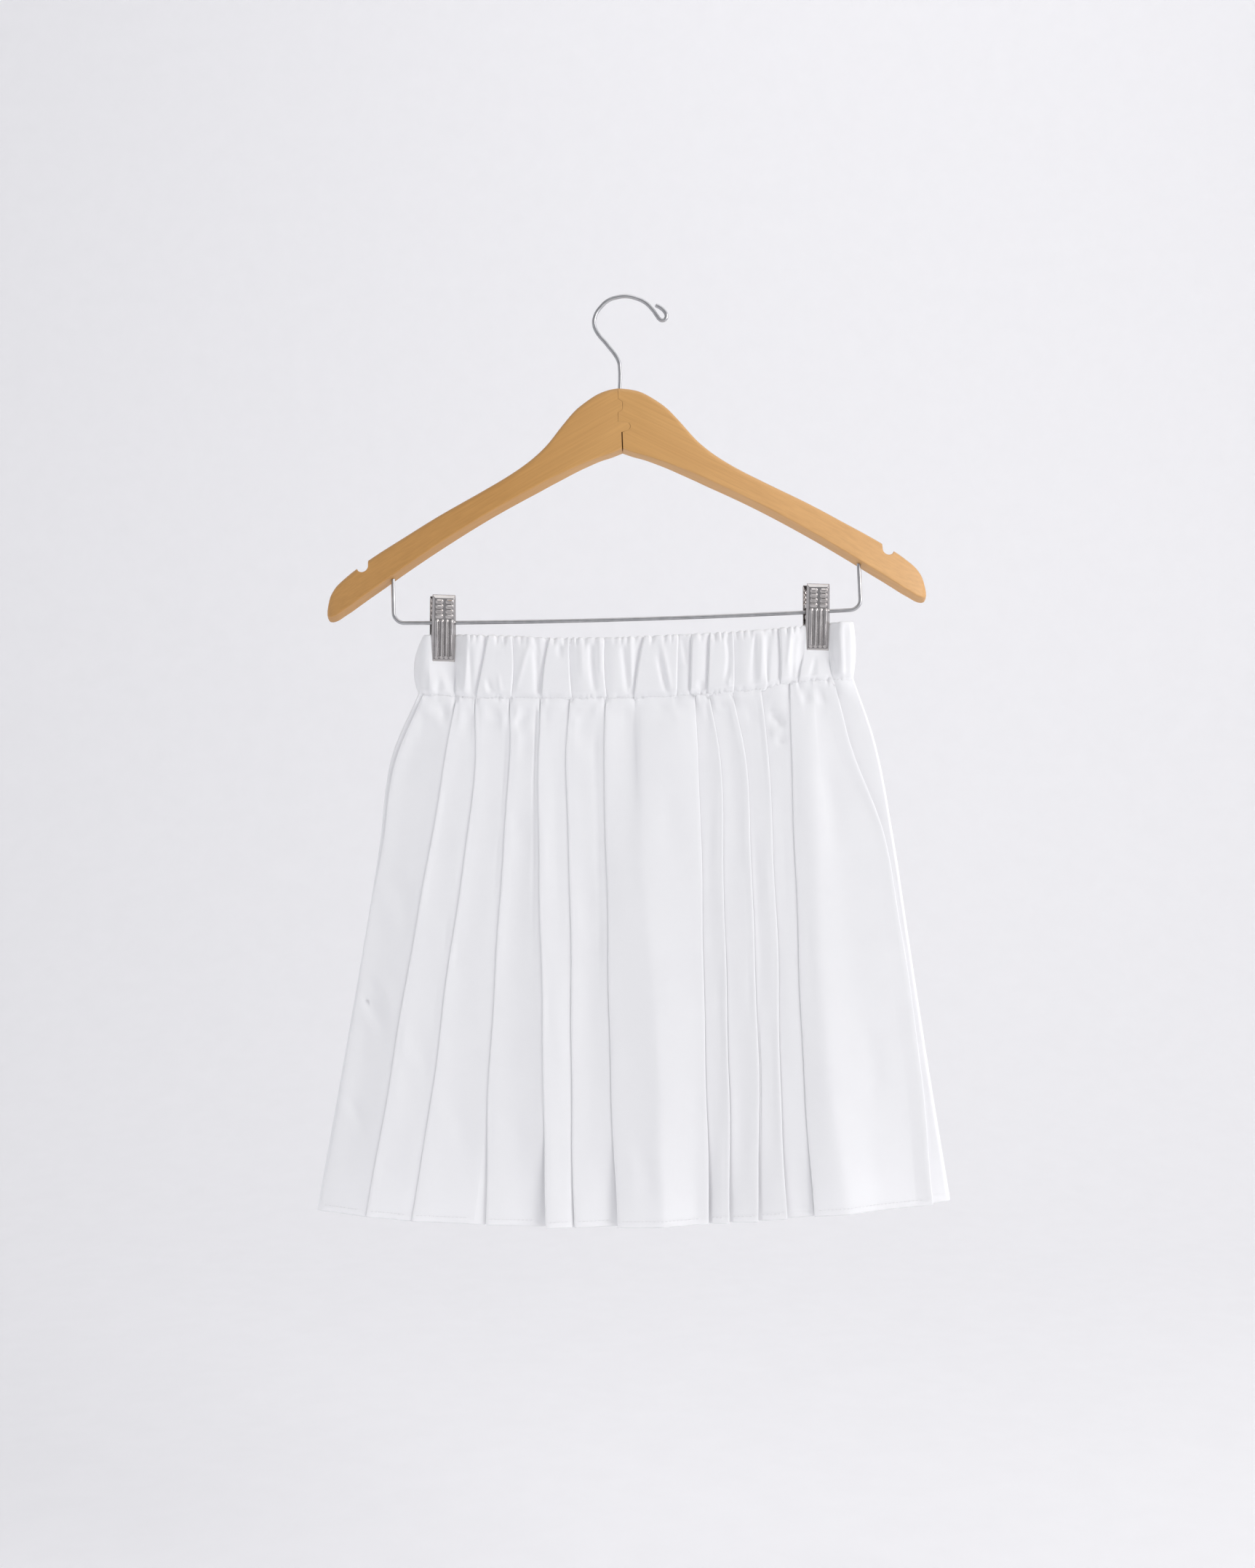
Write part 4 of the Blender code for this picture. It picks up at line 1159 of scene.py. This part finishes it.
def stitch_rows(name, lines, sign, look):
    """Rows of short stitches as one mesh, along lines of points on the front (sign -1) or on the back (1)."""
    thread = bmesh.new()
    outward = np.array([0.0, sign, 0.0])
    for line in lines:
        along = distances(line)
        for k in range(int((along[-1] - 1.0) / STITCH_PITCH)):
            points = stitch_rings(STITCH_FIRST + k * STITCH_PITCH, along, line, outward)
            rings = [new_ring(thread, ring) for ring in points]
            join_rings(thread, rings)
            thread.faces.new(rings[0][::-1])
            thread.faces.new(rings[-1])
    return solid_object(name, thread, look)


def wire_object(name, points, kind, radius, look, matrix, bevel=5):
    """A round wire along points in millimetres, with its ends closed."""
    curve = bpy.data.curves.new(name, "CURVE")
    curve.dimensions = "3D"
    curve.bevel_depth = radius * MM
    curve.bevel_resolution = bevel
    curve.use_fill_caps = True
    curve.resolution_u = 10
    spline = curve.splines.new(kind)
    if kind == "BEZIER":
        spline.bezier_points.add(len(points) - 1)
        for knot, point in zip(spline.bezier_points, points):
            knot.co = Vector(point) * MM
            knot.handle_left_type = knot.handle_right_type = "AUTO"
    else:
        spline.points.add(len(points) - 1)
        for knot, point in zip(spline.points, points):
            knot.co = (*(Vector(point) * MM), 1)
        spline.use_smooth = True
    return new_object(name, curve, look, matrix)


# Materials


class Look:
    """A material with its Principled BSDF, and short ways to add and join nodes."""

    def __init__(self, name, colour, roughness):
        self.material = bpy.data.materials.new(name)
        self.material.use_nodes = True
        self.nodes = self.material.node_tree.nodes
        self.links = self.material.node_tree.links
        self.shader = self.nodes["Principled BSDF"]
        self.set("Base Color", (*colour, 1))
        self.set("Roughness", roughness)

    def set(self, socket, value):
        """Gives one of the shader's sockets a value, or joins another node's output to it."""
        if isinstance(value, bpy.types.NodeSocket):
            self.links.new(value, self.shader.inputs[socket])
        else:
            self.shader.inputs[socket].default_value = value

    def add(self, kind, inputs, output, **settings):
        """A new node with its inputs set or joined, given as one of its outputs."""
        node = self.nodes.new(kind)
        for key, value in settings.items():
            setattr(node, key, value)
        for key, value in inputs.items():
            if isinstance(value, bpy.types.NodeSocket):
                self.links.new(value, node.inputs[key])
            else:
                node.inputs[key].default_value = value
        return node.outputs[output]

    def place(self, scale=(1, 1, 1), turn=0.0):
        """Object coordinates in metres, turned about Y and then stretched by scale."""
        coordinates = self.add("ShaderNodeTexCoord", {}, "Object")
        turned = self.add("ShaderNodeMapping", {"Vector": coordinates, "Rotation": (0, turn, 0)}, 0)
        return self.add("ShaderNodeMapping", {"Vector": turned, "Scale": scale}, 0)

    def noise(self, place, scale, detail, roughness=0.5):
        inputs = {"Vector": place, "Scale": scale, "Detail": detail, "Roughness": roughness}
        return self.add("ShaderNodeTexNoise", inputs, "Fac")

    def wave(self, place, scale, distortion, direction):
        inputs = {"Vector": place, "Scale": scale, "Distortion": distortion}
        return self.add("ShaderNodeTexWave", inputs, "Fac", bands_direction=direction)

    def ramp(self, factor, *stops):
        """A colour ramp through (position, colour) stops."""
        colours = self.add("ShaderNodeValToRGB", {"Fac": factor}, "Color")
        elements = colours.node.color_ramp.elements
        while len(elements) < len(stops):
            elements.new(0.5)
        for element, (position, colour) in zip(elements, stops):
            element.position = position
            element.color = (*colour, 1)
        return colours

    def blend(self, factor, one, two, kind="MIX"):
        inputs = {"Fac": factor, "Color1": one, "Color2": two}
        return self.add("ShaderNodeMixRGB", inputs, "Color", blend_type=kind)

    def rough_between(self, factor, low, high):
        spread = {"Value": factor, "To Min": low, "To Max": high}
        self.set("Roughness", self.add("ShaderNodeMapRange", spread, "Result"))

    def bump(self, height, strength, distance, **normal):
        """Relief on the surface, on top of an earlier one where its output is given as Normal."""
        inputs = {"Height": height, "Strength": strength, "Distance": distance, **normal}
        raised = self.add("ShaderNodeBump", inputs, "Normal")
        self.set("Normal", raised)
        return raised


def white_cloth():
    look = Look("white_cloth", (0.87, 0.87, 0.885), 0.66)
    look.set("Sheen Weight", 0.15)
    look.set("Sheen Roughness", 0.4)
    look.set("Specular IOR Level", 0.28)
    look.set("Subsurface Weight", 0.38)
    look.set("Subsurface Radius", (1.0, 1.0, 1.0))
    look.set("Subsurface Scale", 0.001)
    warp = look.wave(look.place((1, 0.4, 0.05)), 700.0, 0.6, "X")
    weft = look.wave(look.place((0.05, 0.4, 1)), 620.0, 0.6, "Z")
    weave = look.add("ShaderNodeMath", {0: warp, 1: weft}, "Value", operation="ADD")
    slub = look.noise(look.place((90, 90, 900)), 1.0, 3.0)
    cloud = look.noise(look.place(), 28.0, 4.0)
    look.set("Base Color", look.ramp(cloud, (0.3, (0.925, 0.924, 0.942)), (0.7, (0.945, 0.944, 0.96))))
    look.rough_between(slub, 0.58, 0.74)
    slubs = look.bump(slub, 0.05, 0.0002)
    look.bump(weave, 0.12, 0.00012, Normal=slubs)
    return look.material


def white_thread():
    look = Look("white_thread", (0.86, 0.865, 0.875), 0.45)
    look.set("Sheen Weight", 0.3)
    twist = look.wave(look.place((1, 0.3, 1)), 420.0, 0.4, "DIAGONAL")
    look.set("Base Color", look.ramp(twist, (0.2, (0.80, 0.805, 0.82)), (0.8, (0.89, 0.89, 0.9))))
    look.bump(twist, 0.5, 0.0001)
    return look.material


def lacquered_wood(name, turn, side, painted_light_tint):
    """Fine straight grain that runs along an arm, which slopes by turn. Its outer part has the arm's colour
    with painted shade on the left arm and painted light on the right one.
    """
    look = Look(name, (0.57, 0.3, 0.1), 0.42)
    look.set("Coat Weight", 0.08)
    look.set("Coat Roughness", 0.3)
    look.set("Specular IOR Level", 0.3)
    fine = look.noise(look.place((14, 500, 700), turn), 1.0, 4.0, 0.6)
    broad = look.noise(look.place((5, 60, 80), turn), 1.0, 2.0)
    pores = look.noise(look.place((150, 1500, 1800), turn), 1.0, 2.0)
    grain = look.ramp(fine, (0.3, (0.87, 0.86, 0.84)), (0.52, (0.94, 0.935, 0.93)), (0.75, (1.0, 1.0, 1.0)))
    wide = look.ramp(broad, (0.3, (0.95, 0.935, 0.92)), (0.7, (1.0, 1.0, 1.0)))
    across = look.add("ShaderNodeSeparateXYZ", {"Vector": look.place()}, "X")
    # The neck's own colour gives way outwards to the arm's colour, which holds painted shade on the left arm
    # and painted light on the right
    span = {"Value": across, "From Min": side * WOOD_BLEND[0], "From Max": side * WOOD_BLEND[1]}
    outward = look.add("ShaderNodeMapRange", span, "Result")
    neck_and_painted_light = look.blend(outward, (*WOOD_NECK, 1), (*painted_light_tint, 1))
    grained = look.blend(1.0, grain, wide, "MULTIPLY")
    look.set("Base Color", look.blend(1.0, grained, neck_and_painted_light, "MULTIPLY"))
    look.rough_between(broad, 0.38, 0.5)
    grooves = look.bump(fine, 0.08, 0.0002)
    look.bump(pores, 0.05, 0.0001, Normal=grooves)
    return look.material


def plated_wire():
    look = Look("plated_wire", (0.5, 0.5, 0.51), 0.36)
    look.set("Metallic", 1.0)
    worn = look.noise(look.place(), 190.0, 4.0)
    look.set("Base Color", look.ramp(worn, (0.35, (0.45, 0.45, 0.46)), (0.65, (0.53, 0.53, 0.54))))
    look.rough_between(worn, 0.32, 0.4)
    look.bump(worn, 0.02, 0.0001)
    return look.material


def pressed_sheet():
    look = Look("pressed_sheet", (0.46, 0.43, 0.42), 0.2)
    look.set("Metallic", 1.0)
    spots = look.noise(look.place(), 160.0, 3.0)
    look.set("Base Color", look.ramp(spots, (0.3, (0.46, 0.435, 0.425)), (0.7, (0.53, 0.505, 0.495))))
    look.rough_between(spots, 0.12, 0.17)
    return look.material


# Hanger


def hanger_pose():
    """Places what is drawn level, with the crown at its origin, into the hanging pose."""
    crown = Matrix.Translation((CROWN[0] * MM, 0, CROWN[1] * MM))
    return Matrix.Rotation(HANGER_TILT, 4, "X") @ crown @ Matrix.Rotation(HANGER_ROLL, 4, "Y")


def arm_sweep(out):
    """How far the arms bend back at this distance from the middle."""
    return ARM_SWEEP * (out / HANGER_HALF) ** 2


def bar_place(x):
    """The bar's middle line at this X of the hanging pose, in that pose and in millimetres."""
    along = (x - CROWN[0] - BAR_LEVEL * math.sin(HANGER_ROLL)) / math.cos(HANGER_ROLL)
    share = along / (BAR_HALF - BAR_CORNER)
    level = BAR_LEVEL - BAR_SAG * (1 - share * share) + bar_raise(along)
    return hanger_pose() @ (Vector((along, arm_sweep(BAR_HALF), level)) * MM) / MM


def arm_outs():
    """Distances from the middle at which an arm's rings lie, closer together at the joint, notch and tip."""
    centre, radius, _ = NOTCH
    start, end = centre - radius, centre + radius
    outs = [*np.arange(0.02, 14, 0.9), *np.arange(14, start - 2, 2.6), start - 1.4, start - 0.3, start - 0.02]
    outs += list(centre - (radius - 0.02) * np.cos(np.linspace(0, math.pi, 27)))
    outs += [end + 0.3, end + 1.6, *np.arange(end + 3, ARM_TIP[0], 2.0)]
    return outs + list(np.linspace(*ARM_TIP, 15))


def arm_section(out):
    """(top edge, lower edge, thickness, rounding of the top edge) of an arm, with the notch in its top."""
    outs, tops, lows, thicks = zip(*ARM_SECTIONS)
    top, low, thick = (smooth_through(outs, values, out) for values in (tops, lows, thicks))
    centre, radius, under = NOTCH
    off = min(abs(out - centre), radius)
    floor = smooth_through(outs, tops, centre) - under - math.sqrt(radius**2 - off**2)
    if off == radius or floor >= top - 0.05:
        return top, low, thick, TOP_ROUND
    return floor, low, thick, mix(TOP_ROUND, NOTCH_ROUND, float(smooth((top - floor) / 1.5)))


def arm_ring(out, side):
    """The arm's rounded section in the upright plane across it: down its front, then up its back."""
    top, low, thick, round_top = arm_section(out)
    half = thick / 2
    slant = LOW_SLANT * float(smooth((out - SLANT_FROM[0]) / (SLANT_FROM[1] - SLANT_FROM[0])))
    slant = min(slant, 0.2 * (top - low))
    halves = []
    for front in (-1, 1):
        edge = low + (slant if front < 0 else 0.0)
        upper = min(round_top, 0.45 * (top - edge), 0.8 * half)
        lower = min(LOW_ROUND, 0.3 * (top - edge), 0.8 * half)
        line = [(half - upper + upper * cos, top - upper + upper * sin)
                for cos, sin in directions(range(90, -1, -15))]
        line += [(half, mix(top - upper, edge + lower, k / FACE_STEPS)) for k in range(1, FACE_STEPS)]
        line += [(half - lower + lower * cos, edge + lower - lower * sin)
                 for cos, sin in directions(range(0, 91, 15))]
        halves.append([(front * y, z) for y, z in line])
    fade = max(0.0, 1 - out / JOINT_FADE)
    points = []
    for y, z in halves[0] + halves[1][::-1]:
        step = on_line(JOINT_SEAM[::-1], z) * fade
        points.append((side * (out + joint_gap(y, z, fade)) + step, arm_sweep(out) + y, z))
    return points


def joint_gap(y, z, fade):
    """Half the width of the joint's seam: a fine line, wider under its last finger, closed at the back."""
    front = mix(*JOINT_LINE, float(smooth((JOINT_OPENS - z) / 1.2)))
    return fade * (front if y < 0 else JOINT_CLOSED)


def build_arms():
    arms = []
    # The left arm gets a colour with painted shade, the right one a colour with painted light
    for name, side, painted_light_tint in (("arm_left", -1, WOOD_LEFT_PAINTED_SHADE), ("arm_right", 1, WOOD_RIGHT_PAINTED_LIGHT)):
        look = lacquered_wood(f"lacquered_wood_{name}", -side * ARM_SLOPE - HANGER_ROLL, side, painted_light_tint)
        rings = [arm_ring(out, side) for out in arm_outs()]
        arms.append(loft_object(name, rings, look, hanger_pose()))
    return arms


def bar_route():
    """The trouser bar's middle line, from the top of its left leg to the top of its right one."""
    y = arm_sweep(BAR_HALF)
    straight = BAR_HALF - BAR_CORNER
    points = [(-BAR_HALF, y, BAR_LEG_TOP)]
    for cos, sin in directions(np.linspace(0, 90, 11)):
        points.append((-BAR_HALF + BAR_CORNER * (1 - cos), y, BAR_LEVEL + BAR_CORNER * (1 - sin)))
    for share in np.linspace(-0.9, -0.1, 9):
        points.append((share * straight, y, BAR_LEVEL - BAR_SAG * (1 - share * share)))
    points += [(-x, y, z) for x, y, z in reversed(points)]
    return [points[0]] + [(x, y, z + bar_raise(x)) for x, y, z in points[1:-1]] + [points[-1]]


def bar_raise(x):
    """How far the bar sits above its even height: a little more at its left, as it hangs unevenly."""
    return BAR_RAISE[0] + BAR_RAISE[1] * x


def plate_half_gap(down):
    return mix(*PLATE_HALF_GAP, down / PLATE[2])


def plate_relief(across, down):
    """How far the pressed ribs and pills stand out of a clip's plate."""
    height = 0.0
    for k in range(RIB_COUNT):
        x = (k - (RIB_COUNT - 1) / 2) * RIB_PITCH
        beyond = max(0.0, -RIB_SPAN[0] - down, down + RIB_SPAN[1])
        height = max(height, rounded(math.hypot(across - x, beyond) / RIB_HALF))
    for row in PILL_ROWS:
        for place in PILL_PLACES:
            beyond = max(0.0, abs(across - place) - (PILL_LONG - PILL_HALF))
            height = max(height, rounded(math.hypot(beyond, down + row) / PILL_HALF))
    return RELIEF * height


def rounded(off):
    """A smooth ridge: 1 in the middle, 0 from off = 1 on."""
    return 0.5 * (1 + math.cos(math.pi * off)) if off < 1 else 0.0


def bent_edge(inward, edge):
    """How far a bent edge falls back, at a distance inward from the plate's outline."""
    width, slope = edge
    return max(0.0, width - inward) * slope


def build_plate(name, side, look, matrix):
    """One pressed plate of a clip, with bent edges, ribs over its lower half and short pills above them."""
    width, thick, tall = PLATE
    columns, rows = PLATE_GRID
    grid = np.zeros((rows + 1, columns + 1, 3))
    for r in range(rows + 1):
        down = tall * r / rows
        half = mix(width - PLATE_NARROW, width, down / tall) / 2
        for c in range(columns + 1):
            across = half * (2 * c / columns - 1)
            edges = ((half - abs(across), BENT_SIDES), (down, BENT_TOP), (tall - down, BENT_JAW))
            fall = max(bent_edge(inward, edge) for inward, edge in edges)
            out = plate_half_gap(down) + thick / 2 - fall + plate_relief(across, down)
            grid[r, c] = (across, side * out, PLATE_OVER_BAR - down)
    if side > 0:
        grid = grid[:, ::-1]
    return grid_object(name, grid, look, thick, matrix, 34)


def build_ears(name, look, matrix):
    """The two ears of a clip's back plate, each with the hole that the bar runs through."""
    thick, tall, hole = EAR
    ears = bmesh.new()
    behind = plate_half_gap(PLATE_OVER_BAR) + EAR_INTO_PLATE
    around = directions(360 * k / EAR_POINTS for k in range(EAR_POINTS))
    outer = [(cos * (behind if cos > 0 else EAR_FRONT), sin * tall) for cos, sin in around]
    inner = [(cos * hole, sin * hole) for cos, sin in around]
    for side in (-1, 1):
        middle = side * ((PLATE[0] - PLATE_NARROW - thick) / 2 - EAR_INSET)
        near, far = middle - thick / 2, middle + thick / 2
        outlines = ((near, outer), (near, inner), (far, inner), (far, outer))
        rings = [new_ring(ears, [(x, y, z) for y, z in outline]) for x, outline in outlines]
        join_rings(ears, rings + rings[:1])
    return solid_object(name, ears, look, matrix, 40)


def build_spring(name, look, matrix):
    """The coil round the bar, with a leg that lies behind each plate."""
    radius, wire, turns, length = SPRING
    steps = turns * SPRING_POINTS
    front, back = SPRING_LEGS
    points = [(-length / 2, -radius * front, SPRING_LEG_TOP)]
    for k, (cos, sin) in enumerate(directions(360 * k / SPRING_POINTS for k in range(steps + 1))):
        points.append((-length / 2 + length * k / steps, -radius * cos, radius * sin))
    points.append((length / 2, radius * back, SPRING_LEG_TOP))
    return wire_object(name, points, "POLY", wire, look, matrix, bevel=2)


def build_clips(look):
    made = []
    for side, x, yaw in zip(("left", "right"), CLIP_PLACES, CLIP_YAWS):
        place = Matrix.Translation(bar_place(x) * MM)
        turned = place @ Matrix.Rotation(yaw, 4, "Z")
        front = build_plate(f"clip_plate_front_{side}", -1, look, turned)
        back = build_plate(f"clip_plate_back_{side}", 1, look, turned)
        ears = build_ears(f"clip_ears_{side}", look, turned)
        spring = build_spring(f"clip_coil_{side}", look, place @ Matrix.Rotation(HANGER_ROLL, 4, "Y"))
        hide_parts(f"clip_{side}_front")
        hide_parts(f"clip_{side}_back")
        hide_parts(f"clip_{side}_spring")
        made += [front, back, ears, spring]
    return made


def build_skirt(cloth, thread):
    """The sheets of the skirt and of the casing, front and back, and the rows of stitches on them."""
    middle_y = bar_place(0).y
    front, front_shown = cloth_rows(front_stops, FRONT_ROWS, HEM, FRONT_CREASES, middle_y)
    back, back_shown = cloth_rows(back_stops, BACK_ROWS, HEM_BACK, BACK_CREASES, middle_y)
    casing_front = casing_grid(FRONT_GATHERS, -1, middle_y)
    casing_back = casing_grid(back_gathers(), 1, middle_y)
    sheets = []
    for node, grid in (("skirt_front", front), ("skirt_back", back), ("waist_front", casing_front),
                       ("waist_back", casing_back)):
        sheets.append(grid_object(f"{node}_cloth", grid, cloth, SHEET_THICK))
        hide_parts(node)
    runs = (
        ("waist_front_stitches", [casing_stitch_line(casing_front)], -1),
        ("waist_back_stitches", [casing_stitch_line(casing_back)], 1),
        ("hem_front_stitches", hem_stitch_lines(front, front_shown), -1),
        ("hem_back_stitches", hem_stitch_lines(back, back_shown), 1),
    )
    return sheets, [stitch_rows(name, lines, sign, thread) for name, lines, sign in runs]


def casing_stitch_line(grid):
    """Points along the casing's face just over its lower edge, for its row of stitches."""
    columns = grid[:CASING_ROWS, 8:-8].transpose(1, 0, 2)
    up = CASING_UNDER + CASING_STITCH_UP
    return np.array([point_at(column[0, 2] + up, column[:, 2], column) for column in columns])


def hem_stitch_lines(grid, shown):
    """Points along each visible stretch of the hem, at the height of its stitches."""
    lines = []
    for start, end in panel_runs(shown):
        columns = grid[::-1, start:end + 1].transpose(1, 0, 2)
        line = np.array([point_at(column[0, 2] + HEM_STITCH_UP, column[:, 2], column) for column in columns])
        if end - start >= HEM_NARROWEST and abs(line[-1, 0] - line[0, 0]) > HEM_NARROWEST:
            lines.append(line)
    return lines


# Stage, lights and camera, in metres

EYE = (0.0008, -1.300, -0.3624)
LENS = 26.67
SENSOR = 24.0
FLOOR_LEVEL = -1.02
BACKDROP = 2.2
STAGE_HALF = 5.0
STAGE_FRONT = -7.0
STAGE_TOP = 3.2
SWEEP = 1.1

# Light from the surroundings: from one heading to another along X, its strength from and to
WORLD_RIGHT = (0.25, 0.98, 0.35, 1.35)
WORLD_LEFT = (-0.25, -0.95, 0.0, 0.42)


def build_stage():
    """A pale floor that sweeps up into a plain backdrop, well behind the part."""
    look = Look("studio_paper", (0.86, 0.855, 0.865), 0.9)
    fibre = look.noise(look.place(), 30.0, 3.0)
    look.set("Base Color", look.ramp(fibre, (0.3, (0.85, 0.845, 0.855)), (0.7, (0.87, 0.865, 0.875))))
    look.set("Emission Color", (1.0, 0.99, 1.0, 1))
    look.set("Emission Strength", 0.09)
    profile = [(STAGE_FRONT, FLOOR_LEVEL), (BACKDROP - SWEEP, FLOOR_LEVEL)]
    for cos, sin in directions(range(6, 91, 6)):
        profile.append((BACKDROP - SWEEP + SWEEP * sin, FLOOR_LEVEL + SWEEP * (1 - cos)))
    profile.append((BACKDROP, STAGE_TOP))
    grid = np.array([[(STAGE_HALF, y, z), (-STAGE_HALF, y, z)] for y, z in profile])
    stage = grid_object("studio_floor", grid / MM, look.material, 0)


def area_light(name, place, target, size, watts, colour=(1, 1, 1)):
    light = bpy.data.lights.new(name, "AREA")
    light.shape = "DISK"
    light.size = size
    light.energy = watts
    light.color = colour
    lamp = bpy.data.objects.new(name, light)
    lamp.location = place
    lamp.rotation_euler = (Vector(target) - Vector(place)).to_track_quat("-Z", "Y").to_euler()
    bpy.context.scene.collection.objects.link(lamp)
    return lamp


def build_lights():
    """Soft studio light: a bright right side, a weaker left one and a dim front, and four lamps."""
    world = bpy.data.worlds.new("studio")
    bpy.context.scene.world = world
    world.use_nodes = True
    nodes = world.node_tree.nodes
    links = world.node_tree.links
    background = nodes["Background"]
    background.inputs["Color"].default_value = (0.94, 0.95, 1.0, 1)
    heading = nodes.new("ShaderNodeTexCoord")
    parts = nodes.new("ShaderNodeSeparateXYZ")
    links.new(heading.outputs["Generated"], parts.inputs["Vector"])
    sides = []
    for start, end, low, high in (WORLD_RIGHT, WORLD_LEFT):
        side = nodes.new("ShaderNodeMapRange")
        side.interpolation_type = "SMOOTHERSTEP"
        for socket, value in (("From Min", start), ("From Max", end), ("To Min", low), ("To Max", high)):
            side.inputs[socket].default_value = value
        links.new(parts.outputs["X"], side.inputs["Value"])
        sides.append(side.outputs["Result"])
    both = nodes.new("ShaderNodeMath")
    links.new(sides[0], both.inputs[0])
    links.new(sides[1], both.inputs[1])
    links.new(both.outputs["Value"], background.inputs["Strength"])
    area_light("key", (2.1, -1.15, 0.5), (0.0, 0.0, -0.4), 1.6, 29.5, (1.0, 0.985, 0.965))
    fill = area_light("fill", (-1.8, -2.0, 0.1), (0.0, 0.0, -0.4), 1.8, 12.5)
    fill.visible_glossy = False
    sheen = area_light("sheen", (0.2, -0.5, 1.4), (0.0, 0.0, -0.3), 1.3, 5.0)
    sheen.visible_diffuse = False
    area_light("backdrop", (0.6, 0.9, 2.6), (0.2, 2.2, 0.2), 2.4, 12.0, (1.0, 0.98, 1.0))


def build_camera():
    camera = bpy.data.cameras.new("camera")
    camera.sensor_fit = "VERTICAL"
    camera.sensor_height = SENSOR
    camera.lens = LENS
    camera.clip_start = 0.05
    eye = bpy.data.objects.new("camera", camera)
    eye.location = EYE
    eye.rotation_euler = (math.pi / 2, 0, 0)
    bpy.context.scene.collection.objects.link(eye)
    bpy.context.scene.camera = eye


def main():
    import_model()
    build_camera()
    build_lights()
    build_stage()
    bpy.context.scene.view_settings.view_transform = "Standard"
    wire = plated_wire()
    sheets, stitches = build_skirt(white_cloth(), white_thread())
    arms = build_arms()
    for arm, node in zip(arms, ("hanger_arm_left", "hanger_arm_right")):
        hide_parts(node)
    tilt = Matrix.Rotation(HANGER_TILT, 4, "X")
    hook = wire_object("hook_wire", [(x, 0, z) for x, z in HOOK_ROUTE], "BEZIER", WIRE_RADIUS, wire, tilt)
    bar = wire_object("bar_wire", bar_route(), "POLY", WIRE_RADIUS, wire, hanger_pose())
    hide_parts("hanger_hook")
    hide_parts("trouser_bar")
    clips = build_clips(pressed_sheet())
    made = {"cloth": sheets + stitches, "wood": arms, "steel": [hook, bar], "clip_steel": clips}
    for slot, pieces in made.items():
        for piece in pieces:
            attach(piece, "root")


main()
